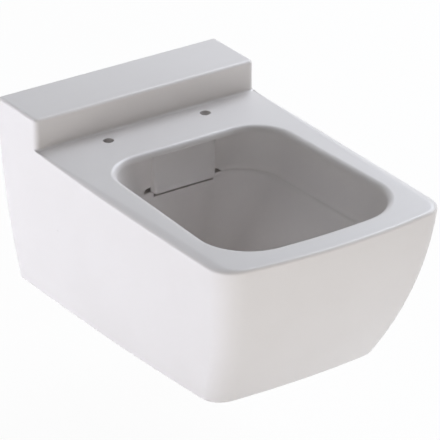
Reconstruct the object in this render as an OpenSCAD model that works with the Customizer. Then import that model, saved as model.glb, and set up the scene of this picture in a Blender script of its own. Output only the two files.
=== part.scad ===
// Wall hung toilet pan, rimless and fully shrouded, with the hidden brackets that hold it to the wall.
// The wall is the plane y = 0 and the pan stands out along -Y. Height 0 is the wall fixings' height.

/* [Envelope] */
// Overall width
pan_w = 353; // [348:1:357]
// Overall projection from the wall
pan_l = 540; // [530:1:560]
// Overall height, from the underside to the top of the raised back
pan_h = 280; // [276:1:284]
// Height of the seat deck above the wall fixings
deck_z = 70; // [69:1:72]
// Thickness of the outer ceramic wall
shell_t = 10; // [8:0.5:12]
// Thickness of the deck
deck_t = 12; // [10:0.5:14]

/* [Raised back] */
// Height of the raised back above the deck
plinth_h = 44; // [36:1:50]
// Depth of the raised back from the wall
plinth_d = 92; // [80:1:96]
// Rounding of its upright front edges
plinth_edge_r = 8; // [5:0.5:10]
// Rounding along its top
plinth_top_r = 5; // [3:0.5:6]
// Hollow rounding where it meets the deck
plinth_foot_r = 4; // [2:0.5:6]

/* [Skirt] */
// How much each side draws in from the deck to the underside
side_drop = 28; // [15:1:35]
// Share of that draw which is a straight lean, the rest is a curve
side_lean = 0.41; // [0.2:0.01:0.8]
// How far the front draws back from the deck to the underside
front_drop = 92; // [60:1:100]
// Share of that draw which is a straight lean, the rest is a curve
front_lean = 0.3; // [0.1:0.01:0.8]
// Corner radius at the deck, seen from above
corner_top_r = 40; // [34:1:50]
// Corner radius at the underside, seen from above
corner_low_r = 30; // [25:1:40]
// Rounding of the bottom edge
foot_r = 4; // [2:0.5:6]

/* [Bowl] */
// Distance from the wall to the back of the opening
bowl_back = 174; // [170:1:178]
// Distance from the wall to the front of the opening
bowl_front = 506; // [496:1:512]
// Half width of the opening at its back
bowl_half_back = 139; // [132:1:142]
// Half width of the opening at its front
bowl_half_front = 145; // [138:1:148]
// Rounding of the rim along the sides and front
rim_r = 11; // [6:0.5:12]
// Rounding of the rim along the back
rim_back_r = 7.5; // [5:0.5:8]
// Depth of the flushing ledge below the deck
ledge_drop = 60; // [55:1:65]
// Width of the flushing ledge
ledge_w = 5; // [3:0.5:8]
// Thickness of the bowl's wall
bowl_t = 9; // [7:0.5:10]

/* [Trap and water ways] */
// Depth of the water seal
seal_depth = 50; // [48:1:52]
// Half width of the trap's passage
trap_half_w = 38; // [36:1:40]
// Radius of the waste spigot
spigot_r = 51; // [50:0.5:52]
// Radius of the waste spigot's bore
spigot_bore_r = 43; // [40:0.5:44]
// Depth of the waste outlet's centre below the fixings
waste_drop = 100; // [98:1:102]
// Height of the flush inlet's centre above the fixings
inlet_rise = 35; // [34:0.5:36]
// Radius of the flush inlet's bore in the ceramic
inlet_r = 27.5; // [26:0.5:28]

/* [Fixings] */
// Distance between the two wall fixings
fixing_pitch = 180; // [180:1:186]
// Radius of the stud holes in the brackets
stud_hole_r = 6.5; // [5.5:0.5:7]
// Distance between the seat's two hinge holes
hinge_pitch = 155; // [150:1:158]
// Distance from the wall to the hinge holes
hinge_back = 117; // [114:1:118]
// Radius of the hinge holes
hinge_r = 7.25; // [6:0.25:8]
// Radius of the clamp screws
clamp_r = 5; // [4:0.5:5.5]

/* [Hidden] */

china = [0.93, 0.93, 0.94];
zinc = [0.72, 0.74, 0.76];
steel = [0.62, 0.63, 0.65];
grey_rubber = [0.22, 0.22, 0.23];
nylon = [0.88, 0.87, 0.82];

half_pan_w = pan_w / 2;
plinth_z = deck_z + plinth_h;
foot_z = plinth_z - pan_h;
cavity_z = deck_z - deck_t;

// Heights down the skirt are measured from just under the deck's edge rounding
skirt_top_z = deck_z - 6;
skirt_h = skirt_top_z - foot_z;

// The sides swell a little in front of the raised back
side_swell = 1.5;
swell_full_at = 260;

// Bow of the sides and of the front, at the deck and at the underside
side_bow_top = 5;
side_bow_low = 19;
side_power_top = 3.5;
side_power_low = 2;
front_bow_r_top = 850;
front_bow_r_low = 1220;

// The deck's outer edge is rounded little beside the raised back, and broadly along the sides
edge_w_back = 2;
edge_w_side = 16;
edge_w_front = 5;
edge_h_back = 2;
edge_h_side = 6;
edge_h_front = 5;
edge_full_at = 400;

// Points along one half of a plan outline
n_back = 3;
n_side = 9;
n_corner = 7;
n_front = 4;
n_half = n_back + n_side + n_corner + 1 + n_front;
n_plinth_arc = 4;

// General functions
function mix(a, b, t) = a + (b - a) * t;
function clamp(t) = min(1, max(0, t));
function ease(t) = clamp(t) * clamp(t) * (3 - 2 * clamp(t));
function turned(list) = [for (i = [len(list) - 1:-1:0]) list[i]];
function flipped(list) = [for (p = list) [-p[0], p[1], p[2]]];
function part_of(list, from, to) = [for (i = [from:to]) list[i]];

// The skirt's shape at a height
function depth(z) = clamp((skirt_top_z - z) / skirt_h);
function half_w(z) = half_pan_w - side_drop * mix(pow(depth(z), 2), depth(z), side_lean);
function reach(z) = pan_l - front_drop * mix(pow(depth(z), 2), depth(z), front_lean);
function side_bow(z) = mix(side_bow_top, side_bow_low, depth(z));
function side_power(z) = mix(side_power_top, side_power_low, depth(z));
function front_bow_r(z) = mix(front_bow_r_top, front_bow_r_low, depth(z));
function corner_r(z) = mix(corner_top_r, corner_low_r, depth(z));

// A plan outline is an inner line with a sharp corner, set outward by the corner radius less an inset
function inner_x(z, y) =
    half_w(z) - corner_r(z) - side_bow(z) * pow(max(0, -y) / reach(z), side_power(z))
    - side_swell * (1 - ease((-y - plinth_d) / (swell_full_at - plinth_d)));
function inner_y(z, x) = corner_r(z) - reach(z) + x * x / (2 * front_bow_r(z));
function corner_at(z) =
    let (y = inner_y(z, inner_x(z, -reach(z))))
    let (x = inner_x(z, y))
    [x, inner_y(z, x)];
function side_slope(z, y) =
    side_power(z) * side_bow(z) / reach(z) * pow(max(0, -y) / reach(z), side_power(z) - 1);
function side_point(z, y, r) =
    let (k = side_slope(z, y))
    [inner_x(z, y) + r / norm([1, k]), y - r * k / norm([1, k])];
function front_point(z, x, r) =
    let (k = x / front_bow_r(z))
    [x + r * k / norm([1, k]), inner_y(z, x) - r / norm([1, k])];

// The place along the side of a numbered point, before the corner
function back_y(i) = -(plinth_d - plinth_edge_r) * i / (n_back - 1);
function side_y(z, i) = mix(-plinth_d, corner_at(z)[1], (i - n_back) / n_side);

function body_point(i, z, inset) =
    let (r = corner_r(z) - inset)
    let (c = corner_at(z))
    i < n_back ? side_point(z, back_y(i), r)
    : i < n_back + n_side ? side_point(z, side_y(z, i), r)
    : i <= n_back + n_side + n_corner ?
        let (from = atan2(-side_slope(z, c[1]), 1))
        let (to = atan2(-1, c[0] / front_bow_r(z)))
        let (a = mix(from, to, (i - n_back - n_side) / n_corner))
        [c[0] + r * cos(a), c[1] + r * sin(a)]
    : front_point(z, c[0] * (n_half - 1 - i) / n_front, r);

// Width and height of the deck's edge rounding at a numbered point
function edge_share(i) = sin(90 * clamp((-side_y(deck_z, i) - plinth_d) / (edge_full_at - plinth_d)));
function edge_size(i, back, side, front) =
    i < n_back ? 0
    : i < n_back + n_side ? mix(back, side, edge_share(i))
    : mix(side, front, ease((i - n_back - n_side) / n_corner));
function edge_w(i) = edge_size(i, edge_w_back, edge_w_side, edge_w_front);
function edge_h(i) = edge_size(i, edge_h_back, edge_h_side, edge_h_front);

// Whole rings, clockwise seen from above, that start and end at the wall
function both_halves(half) = concat(half, turned(flipped(part_of(half, 0, len(half) - 2))));
function skirt_ring(z, inset) =
    both_halves([for (i = [0:n_half - 1]) let (p = body_point(i, z, inset)) [p[0], p[1], z]]);
function edge_ring(a) =
    both_halves([for (i = [0:n_half - 1])
        let (z = deck_z - edge_h(i) * (1 - sin(a)))
        let (p = body_point(i, z, edge_w(i) * (1 - cos(a))))
        [p[0], p[1], z]]);
function plinth_point(i, half, depth, r) =
    i < n_back ? [half, -(depth - r) * i / (n_back - 1)]
    : i < n_back + n_plinth_arc ?
        let (a = -90 * (i - n_back) / (n_plinth_arc - 1))
        [half - r + r * cos(a), -(depth - r) + r * sin(a)]
    : [(half - r) * (n_half - 1 - i) / (n_half - n_back - n_plinth_arc), -depth];
function plinth_ring(z, inset, front_inset) =
    both_halves([for (i = [0:n_half - 1])
        let (p = plinth_point(i, half_pan_w - side_swell - inset, plinth_d - front_inset, plinth_edge_r - inset))
        [p[0], p[1], z]]);

// A closed solid through rings that all have as many points, lowest first
module loft(rings) {
    m = len(rings[0]);
    last = (len(rings) - 1) * m;
    walls = [for (k = [0:len(rings) - 2])
        for (i = [0:m - 1])
        let (a = k * m + i)
        let (b = k * m + (i + 1) % m)
        each [[a, b, b + m], [a, b + m, a + m]]];
    bottom = [[for (i = [m - 1:-1:0]) i]];
    top = [[for (i = [0:m - 1]) last + i]];
    polyhedron(points = [for (r = rings) each r], faces = concat(bottom, walls, top), convexity = 10);
}

// The outside of the pan: skirt, rounded deck edge, flat deck and raised back in one skin
module outside() {
    foot = [for (a = [0, 45]) skirt_ring(foot_z + foot_r * (1 - cos(a)), foot_r * (1 - sin(a)))];
    skirt = [for (k = [0:8])
        skirt_ring(mix(foot_z + foot_r, deck_z - edge_h_side - 3, k / 8), 0)];
    edge = [for (a = [0:22.5:90]) edge_ring(a)];
    rise = [for (a = [0, 45, 90])
        plinth_ring(deck_z + plinth_foot_r * (1 - cos(a)), 0, -plinth_foot_r * (1 - sin(a)))];
    top = [for (a = [0, 45, 90])
        plinth_ring(plinth_z - plinth_top_r * (1 - sin(a)), plinth_top_r * (1 - cos(a)),
            plinth_top_r * (1 - cos(a)))];
    loft(concat(foot, skirt, edge, rise, top));
}

// The hollow behind the shell, open to the wall
function open_back(ring) = [for (i = [0:len(ring) - 1])
    i == 0 || i == len(ring) - 1 ? [ring[i][0], 2, ring[i][2]] : ring[i]];

module hollow() {
    low = [for (k = [0:4]) open_back(skirt_ring(mix(foot_z + shell_t, cavity_z, k / 4), shell_t))];
    high = [for (z = [cavity_z, plinth_z - deck_t])
        open_back([for (p = plinth_ring(z, plinth_edge_r - 1, deck_t))
            [p[0] * (half_pan_w - shell_t) / (half_pan_w - plinth_edge_r + 1), p[1], z]])];
    loft(concat(low, high));
}

// Bowl outlines: a back corner and a front corner joined by their common tangent
n_bowl_back = 2;
n_bowl_arc = 7;
n_bowl_side = 2;
n_bowl_front = 3;
bowl_front_bow_r = 900;

function bowl_half(z, back, front, half_back, half_front, r_back, r_front) =
    let (c1 = [half_back - r_back, -back - r_back])
    let (c2x = half_front - r_front)
    let (c2 = [c2x, r_front - front + c2x * c2x / (2 * bowl_front_bow_r)])
    let (d = c2 - c1)
    let (n = atan2(d[1], d[0]) + acos((r_back - r_front) / norm(d)))
    let (last = atan2(-1, c2[0] / bowl_front_bow_r))
    concat(
        [for (i = [0:n_bowl_back - 1]) [c1[0] * i / n_bowl_back, -back, z]],
        [for (i = [0:n_bowl_arc])
            let (a = mix(90, n, i / n_bowl_arc))
            [c1[0] + r_back * cos(a), c1[1] + r_back * sin(a), z]],
        [for (i = [1:n_bowl_side])
            let (t = i / (n_bowl_side + 1))
            let (r = mix(r_back, r_front, t))
            [mix(c1[0], c2[0], t) + r * cos(n), mix(c1[1], c2[1], t) + r * sin(n), z]],
        [for (i = [0:n_bowl_arc])
            let (a = mix(n, last, i / n_bowl_arc))
            [c2[0] + r_front * cos(a), c2[1] + r_front * sin(a), z]],
        [for (i = [1:n_bowl_front])
            let (x = c2[0] * (1 - i / n_bowl_front))
            let (k = x / bowl_front_bow_r)
            [x + r_front * k / norm([1, k]),
                r_front - front + x * x / (2 * bowl_front_bow_r) - r_front / norm([1, k]), z]]);
function bowl_ring(z, back, front, half_back, half_front, r_back, r_front) =
    let (h = bowl_half(z, back, front, half_back, half_front, r_back, r_front))
    concat(h, turned(flipped(part_of(h, 1, len(h) - 2))));

// Heights and sizes inside the bowl
ledge_z = deck_z - ledge_drop;
sump_z = foot_z + shell_t + 1.5;
trap_half_h = 26;
trap_floor_z = sump_z + 3.5;
weir_z = trap_floor_z + 2 * trap_half_h + seal_depth;
ledge_half_back = 111;
ledge_half_front = 116;
ledge_back = 180;
ledge_front = 480;
ledge_r_back = 60;
ledge_r_front = 76;
sump_half = 52;
sump_back = 172;
sump_front = 268;
sump_r_back = 24;
sump_r_front = 43;
wall_back = 175.5;
rim_corner_back = 62;
rim_corner_front = 80;

// The lower bowl narrows from the ledge to the sump, faster near the ledge
function low_share(z, power) = pow(clamp((z - sump_z) / (ledge_z - sump_z)), power);
function low_ring(z, inset, grow) =
    let (s = low_share(z, 1.35))
    let (f = low_share(z, 1.5))
    let (b = low_share(z, 2))
    bowl_ring(z - grow, mix(sump_back, ledge_back, b) + inset - grow,
        mix(sump_front, ledge_front, f) - inset + grow,
        mix(sump_half, ledge_half_back, s) - inset + grow,
        mix(sump_half, ledge_half_front, s) - inset + grow,
        mix(sump_r_back, ledge_r_back, s) - inset + grow,
        mix(sump_r_front, ledge_r_front, s) - inset + grow);
function rim_ring(a) =
    let (side = rim_r * (1 - cos(a)))
    let (back = rim_back_r * (1 - cos(a)))
    bowl_ring(deck_z - rim_r * (1 - sin(a)), bowl_back + rim_back_r - back, bowl_front - rim_r + side,
        bowl_half_back - rim_r + side, bowl_half_front - rim_r + side,
        rim_corner_back - rim_r + side, rim_corner_front - rim_r + side);
function wall_ring(z, back, share) =
    bowl_ring(z, back, mix(ledge_front + ledge_w, bowl_front - rim_r, share),
        mix(ledge_half_back + ledge_w, bowl_half_back - rim_r, share),
        mix(ledge_half_front + ledge_w, bowl_half_front - rim_r, share),
        mix(ledge_r_back + ledge_w, rim_corner_back - rim_r, share),
        mix(ledge_r_front + ledge_w, rim_corner_front - rim_r, share));

sump_round = 18;
module bowl_space() {
    sump = [for (a = [90:-30:0]) low_ring(sump_z + sump_round * (1 - sin(a)), sump_round * (1 - cos(a)), 0)];
    low = [for (k = [1:7]) low_ring(mix(sump_z + sump_round, ledge_z, k / 7), 0, 0)];
    wall = [wall_ring(ledge_z + 3, wall_back, 0), wall_ring(deck_z - 28, 177, 0.63)];
    rim = [for (a = [0:22.5:90]) rim_ring(a)];
    over = [rim_ring_over()];
    loft(concat(sump, low, wall, rim, over));
}
function rim_ring_over() = [for (p = rim_ring(90)) [p[0], p[1], deck_z + 2]];

module bowl_shell() {
    low = [for (k = [0:4]) low_ring(mix(sump_z + 6, ledge_z, k / 4), 0, bowl_t)];
    high = bowl_ring(deck_z - 6, bowl_back - bowl_t, bowl_front + bowl_t - 4,
        bowl_half_back + bowl_t - 4, bowl_half_front + bowl_t - 4,
        rim_corner_back + bowl_t, rim_corner_front + bowl_t);
    loft(concat(low, [high]));
}

// The trap's middle line, in [y, z], turns up, over the weir and down again
trap_r1 = 36;
trap_r2 = 30;
trap_r3 = 44;
trap_turn = 82;
trap_c1 = [-174, trap_floor_z + trap_half_h + trap_r1];
trap_c2 = [-102, weir_z + trap_half_h - trap_r2];
trap_c3 = [-27.5, trap_r3 - waste_drop];
trap_cap = 0.5;
n_trap = 12;

// Each stop is its centre, the heading, and the passage's reach to the left, to the right and sideways
function stop_at(c, r, a, left, right, half) =
    [c[0] + r * sin(a), c[1] - r * cos(a), a, left, right, half];
function trap_stops(t) = concat(
    [stop_at([trap_c1[0] - 32, trap_c1[1]], trap_r1, 0, trap_half_h + t, trap_half_h + t, trap_half_w - 2 + t)],
    [for (a = [0:20.5:trap_turn])
        stop_at(trap_c1, trap_r1, a, trap_half_h + t, trap_half_h + t, trap_half_w + t)],
    [for (a = [trap_turn:-20.5:0])
        stop_at(trap_c2, -trap_r2, a, trap_half_h + t, min(trap_half_h + t, trap_r2 - trap_cap), trap_half_w + t)]);
function fall_stops(t) = concat(
    [for (a = [0:-20.5:-trap_turn])
        let (h = mix(trap_half_h, trap_half_h + 3, -a / trap_turn))
        stop_at(trap_c2, -trap_r2, a, h + t, min(h + t, trap_r2 - trap_cap), trap_half_w + t)],
    [for (a = [-trap_turn:20.5:0])
        let (h = mix(32, 34, 1 + a / trap_turn))
        stop_at(trap_c3, trap_r3, a, h + t, h + t, mix(40, 34, 1 + a / trap_turn) + t)]);
function stop_ring(s) =
    let (n = [-sin(s[2]), cos(s[2])])
    let (mid = (s[3] - s[4]) / 2)
    let (h = (s[3] + s[4]) / 2)
    [for (i = [0:2 * n_trap - 1])
        let (a = 180 * i / n_trap)
        let (v = mid + h * sin(a))
        [s[5] * cos(a), s[0] + n[0] * v, s[1] + n[1] * v]];

module trap_space() {
    rise = [for (s = trap_stops(0)) stop_ring(s)];
    fall = [for (s = fall_stops(0)) stop_ring(s)];
    loft(concat(rise, part_of(fall, 1, len(fall) - 1)));
}

module trap_shell() {
    loft([for (s = trap_stops(bowl_t)) stop_ring(s)]);
    loft([for (s = fall_stops(bowl_t)) stop_ring(s)]);
}

// The flush way flattens from the round inlet to a low, wide mouth behind the deflector
channel_half_w = 48;
channel_half_h = 15;
channel_mouth = 160;
channel_t = 7;
inlet_len = 52;
n_channel = 12;
function blunt(v, power) = sign(v) * pow(abs(v), 2 / power);
function channel_ring(y, share, t) =
    let (w = mix(inlet_r - 4, channel_half_w, share) + t)
    let (h = mix(inlet_r - 4, channel_half_h, share) + t)
    let (power = mix(2, 4.5, share))
    [for (i = [0:2 * n_channel - 1])
        let (a = 180 * i / n_channel)
        [w * blunt(cos(a), power), y, inlet_rise - h * blunt(sin(a), power)]];

module channel(t, end) {
    loft([for (k = [0:4]) channel_ring(mix(6 - inlet_len, -120, k / 4), ease(k / 4), t),
        channel_ring(-end, 1, t)]);
}

// The flush chamber behind the deflector, which opens under the plate and by two side outlets above the ledge
deflector_half = 50;
deflector_face = 181.5;
deflector_back = 176;
outlet_half = 72;
outlet_h = 9;
chamber_half = 44;
chamber_back = 157;
chamber_top_z = 54;

outlet_back = 163;
module chamber() {
    front = deflector_face + 8;
    translate([-chamber_half, -front, ledge_z - 2.5])
        cube([2 * chamber_half, front - chamber_back, chamber_top_z - ledge_z + 2.5]);
    translate([-outlet_half, -front, ledge_z + 1.5])
        cube([2 * outlet_half, front - outlet_back, outlet_h]);
    translate([-deflector_half, -front, ledge_z])
        cube([2 * deflector_half, front - deflector_back, deck_z - rim_back_r - ledge_z]);
}

// Thick casting under and behind the chamber, so that its water stays out of the hollow side
module chamber_shell() {
    back = chamber_back - 8;
    front = deflector_back - 4;
    translate([-outlet_half - 8, -front, ledge_z - 10])
        cube([2 * (outlet_half + 8), front - back, 28]);
}

// The back wall carries the inlet and hangs on the brackets' arms
web_t = 14;
web_low_z = -36;
arm_low_z = 13;
arm_t = 10;
cap_t = 3;
hang_z = arm_low_z + arm_t + cap_t;
window_in = 61;
window_out = 113;
window_low_z = -31;

module back_web() {
    zs = [for (k = [0:6]) mix(web_low_z, plinth_z - 6, k / 6)];
    right = [for (z = zs) [half_w(z) - 3, z]];
    left = [for (p = turned(right)) [-p[0], p[1]]];
    rotate([90, 0, 0])
        linear_extrude(height = web_t)
        difference() {
            polygon(concat(right, left));
            for (s = [-1, 1])
                translate([s * (window_in + window_out) / 2, (window_low_z + hang_z) / 2])
                square([window_out - window_in, hang_z - window_low_z], center = true);
        }
}

// Shelves that the clamp screws bear down on; they fall away to the front, so clamping draws the pan back
shelf_z = -8;
shelf_slope = 12;
shelf_t = 22;
shelf_len = 40;
shelf_in = 44;
module shelf(s) {
    out = half_w(shelf_z) - 4;
    translate([s * (shelf_in + out) / 2, -hinge_back, shelf_z])
        rotate([shelf_slope, 0, 0])
        translate([0, 0, -shelf_t / 2])
        cube([out - shelf_in, shelf_len, shelf_t], center = true);
}

// The underside is open around the waste spigot
foot_gap_half = 72;
foot_gap_d = 66;
module foot_gap() {
    translate([-foot_gap_half, -foot_gap_d, foot_z - 1])
        cube([2 * foot_gap_half, foot_gap_d + 3, shell_t + 2]);
}

module casting() {
    difference() {
        union() {
            difference() {
                outside();
                hollow();
                foot_gap();
            }
            bowl_shell();
            trap_shell();
            channel(channel_t, channel_mouth + 12);
            chamber_shell();
            translate([0, 0, inlet_rise]) along_y(horn_r, 1, inlet_len);
            translate([0, 0, -waste_drop]) along_y(collar_r, spigot_root - 8, spigot_root + 6.5);
            back_web();
            shelf(-1);
            shelf(1);
        }
        bowl_space();
        trap_space();
        channel(0, channel_mouth);
        chamber();
        translate([0, 0, -waste_drop]) along_y((spigot_r + spigot_bore_r) / 2, -3, spigot_root - 1.5);
        translate([0, 0, inlet_rise]) along_y(inlet_r + seat_gap, -3, inlet_len);
        translate([0, 0, inlet_rise]) along_y(seal_flange_r + seat_gap, -3, seal_flange_t);
    }
}

// Round features along Y: from a distance off the wall, to another
module along_y(r, from, to) {
    translate([0, -from, 0])
        rotate([90, 0, 0])
        cylinder(r = r, h = to - from, $fn = 64);
}

spigot_end = 2;
spigot_root = 40.5;
collar_r = 55;
horn_r = inlet_r + 8;
seal_flange_r = 33;
seal_flange_t = 3;
seat_gap = 0.15;

// The ceramic casting, with its true bores
module pan() {
    color(china)
    difference() {
        union() {
            resize([pan_w, pan_l, pan_h]) casting();
            translate([0, 0, -waste_drop])
                difference() {
                    along_y(spigot_r, spigot_end, spigot_root);
                    along_y(spigot_bore_r, spigot_end - 1, spigot_root + 1);
                }
        }
        for (s = [-1, 1])
            translate([s * hinge_pitch / 2, -hinge_back, cavity_z - 4])
            cylinder(r = hinge_r, h = deck_t + 8, $fn = 48);
    }
}

// Separately cast plate that closes the flush chamber and turns the water sideways and down
deflector_edge_r = 5;
module flush_deflector() {
    color(china)
    translate([0, 0, ledge_z])
        linear_extrude(height = deck_z - rim_back_r - ledge_z)
        difference() {
            translate([-deflector_half, -deflector_face])
                square([2 * deflector_half, deflector_face - deflector_back]);
            for (s = [-1, 1])
                translate([s * deflector_half, -deflector_face])
                difference() {
                    square(2 * deflector_edge_r, center = true);
                    translate([-s * deflector_edge_r, deflector_edge_r])
                        circle(r = deflector_edge_r, $fn = 48);
                }
        }
}

// Rubber collar in the inlet, bored for a 45 mm flush pipe
seal_bore_r = 22.5;
seal_len = 36;
module inlet_seal() {
    color(grey_rubber)
    translate([0, 0, inlet_rise])
        rotate([90, 0, 0])
        rotate_extrude($fn = 64)
        polygon([[seal_bore_r, 0], [seal_flange_r, 0], [seal_flange_r, seal_flange_t],
            [inlet_r, seal_flange_t], [inlet_r, seal_len - 6], [inlet_r - 1.5, seal_len],
            [seal_bore_r, seal_len]]);
}

// Steel brackets that stay on the wall: a flange with a stud hole and an arm under the deck
arm_half = 12.5;
arm_len = 136;
flange_t = 5;
flange_low_z = -26;
flange_out = 108;
gusset_len = 70;
gusset_t = 5;
arm_x = hinge_pitch / 2;
stud_x = fixing_pitch / 2;

module wall_bracket(s) {
    color(zinc)
    difference() {
        union() {
            translate([s > 0 ? arm_x - arm_half : -flange_out, -flange_t, flange_low_z])
                cube([flange_out - arm_x + arm_half, flange_t, arm_low_z + arm_t - flange_low_z]);
            translate([s * arm_x - arm_half, -arm_len + arm_half, arm_low_z])
                cube([2 * arm_half, arm_len - arm_half, arm_t]);
            translate([s * arm_x, arm_half - arm_len, arm_low_z])
                cylinder(r = arm_half, h = arm_t, $fn = 48);
            translate([s * (arm_x - arm_half + gusset_t / 2) - gusset_t / 2, 0, 0])
                rotate([90, 0, 90])
                linear_extrude(height = gusset_t)
                polygon([[-flange_t, arm_low_z], [-flange_t - gusset_len, arm_low_z],
                    [-flange_t, flange_low_z]]);
        }
        translate([s * stud_x, 1, 0])
            rotate([90, 0, 0])
            cylinder(r = stud_hole_r, h = flange_t + 2, $fn = 48);
        translate([s * arm_x, -hinge_back, arm_low_z - 1])
            cylinder(r = clamp_r, h = arm_t + 2, $fn = 48);
    }
}
module left_wall_bracket() { wall_bracket(-1); }
module right_wall_bracket() { wall_bracket(1); }

// Nylon caps between the steel arms and the ceramic that hangs on them
cap_len = 34;
cap_side_t = 2;
cap_side_h = 8;
module bracket_cap(s) {
    color(nylon)
    translate([s * arm_x, 0, 0])
    difference() {
        translate([-arm_half - cap_side_t, -cap_len, hang_z - cap_t - cap_side_h])
            cube([2 * (arm_half + cap_side_t), cap_len - flange_t, cap_t + cap_side_h]);
        translate([-arm_half, -cap_len - 1, hang_z - cap_t - cap_side_h - 1])
            cube([2 * arm_half, cap_len + 2, cap_side_h + 1]);
    }
}
module left_bracket_cap() { bracket_cap(-1); }
module right_bracket_cap() { bracket_cap(1); }

// Nylon wedges between the clamp screws' tips and the sloping shelves
pad_half = 9;
pad_top_z = 0;
module wedge_pad(s) {
    color(nylon)
    translate([s * arm_x, -hinge_back, 0])
    difference() {
        translate([-pad_half, -pad_half, shelf_z - 4])
            cube([2 * pad_half, 2 * pad_half, pad_top_z - shelf_z + 4]);
        translate([0, 0, shelf_z])
            rotate([shelf_slope, 0, 0])
            translate([0, 0, -10])
            cube([4 * pad_half, 4 * pad_half, 20], center = true);
    }
}
module left_wedge_pad() { wedge_pad(-1); }
module right_wedge_pad() { wedge_pad(1); }

// Washers and nuts on the wall's two studs
washer_r = 12;
washer_t = 2.5;
module stud_washers() {
    color(steel)
    for (s = [-1, 1])
        translate([s * stud_x, 0, 0])
        difference() {
            along_y(washer_r, flange_t, flange_t + washer_t);
            along_y(stud_hole_r, flange_t - 1, flange_t + washer_t + 1);
        }
}

nut_flats = 19;
nut_t = 10;
module stud_nuts() {
    color(steel)
    for (s = [-1, 1])
        translate([s * stud_x, -flange_t - washer_t, 0])
        rotate([90, 0, 0])
        difference() {
            cylinder(r = nut_flats / 2 / cos(30), h = nut_t, $fn = 6);
            translate([0, 0, -1]) cylinder(r = stud_hole_r - 0.5, h = nut_t + 2, $fn = 48);
        }
}

// Socket set screws, turned from above through the hinge holes
clamp_len = 36;
socket_flats = 5;
socket_depth = 6;
module clamp_screws() {
    color(steel)
    for (s = [-1, 1])
        translate([s * arm_x, -hinge_back, pad_top_z])
        difference() {
            cylinder(r = clamp_r, h = clamp_len, $fn = 48);
            translate([0, 0, clamp_len - socket_depth])
                cylinder(r = socket_flats / 2 / cos(30), h = socket_depth + 1, $fn = 6);
        }
}

pan();
flush_deflector();
inlet_seal();
left_wall_bracket();
right_wall_bracket();
left_bracket_cap();
right_bracket_cap();
left_wedge_pad();
right_wedge_pad();
stud_washers();
stud_nuts();
clamp_screws();
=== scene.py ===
# %% [markdown]
# # A wall hung toilet pan in glazed china
#
# The real object is one fired casting: a skirt that leans in to the floor, a flat deck with a
# raised back, a bowl with a flushing ledge, and behind the skirt the trap, the flush way and the
# back wall. A cast plate turns the flush water, and steel brackets with nylon pieces hold the pan.
# The CAD solids are the frame. This lesson makes a smoother casting round the same outlines,
# gives the small pieces their detail, and glazes everything.

# %% Load the frame
import math

import bmesh
import bpy
import numpy as np
from mathutils import Matrix, Vector


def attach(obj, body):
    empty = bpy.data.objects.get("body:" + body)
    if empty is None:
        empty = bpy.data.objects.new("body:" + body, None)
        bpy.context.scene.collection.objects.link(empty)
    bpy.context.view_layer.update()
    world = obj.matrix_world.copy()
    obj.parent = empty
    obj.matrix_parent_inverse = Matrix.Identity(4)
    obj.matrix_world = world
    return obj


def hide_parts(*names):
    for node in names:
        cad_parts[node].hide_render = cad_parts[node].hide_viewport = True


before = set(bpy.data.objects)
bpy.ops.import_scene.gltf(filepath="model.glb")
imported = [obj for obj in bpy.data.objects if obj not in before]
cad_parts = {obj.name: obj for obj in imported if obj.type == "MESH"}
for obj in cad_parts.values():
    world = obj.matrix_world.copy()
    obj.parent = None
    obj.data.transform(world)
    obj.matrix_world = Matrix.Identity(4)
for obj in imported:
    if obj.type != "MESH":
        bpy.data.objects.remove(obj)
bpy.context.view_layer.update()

scene = bpy.context.scene
MM = 0.001
print("CAD nodes:", ", ".join(sorted(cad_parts)))

# %% [markdown]
# ## The camera
#
# The photograph looks down on the left front corner from far away with a long lens, so that the
# lines hardly run together. The place below was found from the straight edges of the raised back
# and the deck. A long lens at a long distance is what a studio uses for a product picture.

# %% Place the camera
CAMERA_PLACE = Vector((-2.1882, -3.4536, 1.9215))
LOOK = Vector((0.506299, 0.737702, -0.446606))
LENS = 269.3


def aimed(name, data, place, direction):
    """An object in the scene that looks along a direction."""
    o = bpy.data.objects.new(name, data)
    scene.collection.objects.link(o)
    o.location = place
    o.rotation_mode = "QUATERNION"
    o.rotation_quaternion = direction.to_track_quat("-Z", "Y")
    return o


camera_data = bpy.data.cameras.new("studio_camera")
camera_data.sensor_width = 36
camera_data.lens = LENS
camera_data.clip_start = 0.1
camera_data.clip_end = 60
scene.camera = aimed("studio_camera", camera_data, CAMERA_PLACE, LOOK)
print("camera", [round(v, 3) for v in CAMERA_PLACE], "lens", LENS, "mm")

# %% [markdown]
# ## Sizes
#
# These are the sizes of the casting in millimetres, the same ones that the CAD source has. The
# wall is y = 0, the pan stands out along -Y, and height 0 is where the wall studs are.

# %% The casting's sizes
PAN_WIDTH, PAN_REACH, PAN_HEIGHT = 353.0, 540.0, 280.0
DECK, DECK_T, SHELL_T, BOWL_T = 70.0, 12.0, 10.0, 9.0
BACK_HEIGHT, BACK_DEPTH, BACK_EDGE, BACK_TOP_EDGE, BACK_FOOT = 44.0, 92.0, 8.0, 5.0, 4.0
BACK_TOP = DECK + BACK_HEIGHT
FOOT = BACK_TOP - PAN_HEIGHT
FOOT_EDGE = 4.0
SIDE_DROP, SIDE_LEAN, FRONT_DROP, FRONT_LEAN = 28.0, 0.41, 92.0, 0.3
CORNER_TOP, CORNER_LOW = 40.0, 30.0
SIDE_BOW_TOP, SIDE_BOW_LOW, BOW_POWER_TOP, BOW_POWER_LOW = 5.0, 19.0, 3.5, 2.0
FRONT_BOW_TOP, FRONT_BOW_LOW = 850.0, 1220.0
SWELL, SWELL_FULL = 1.5, 260.0
SKIRT_TOP = DECK - 6.0
CAVITY_TOP = DECK - DECK_T
LEDGE = DECK - 60.0
SUMP = FOOT + SHELL_T + 1.5
print("deck", DECK, "raised back", BACK_TOP, "underside", FOOT, "ledge", LEDGE, "sump", SUMP)


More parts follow.
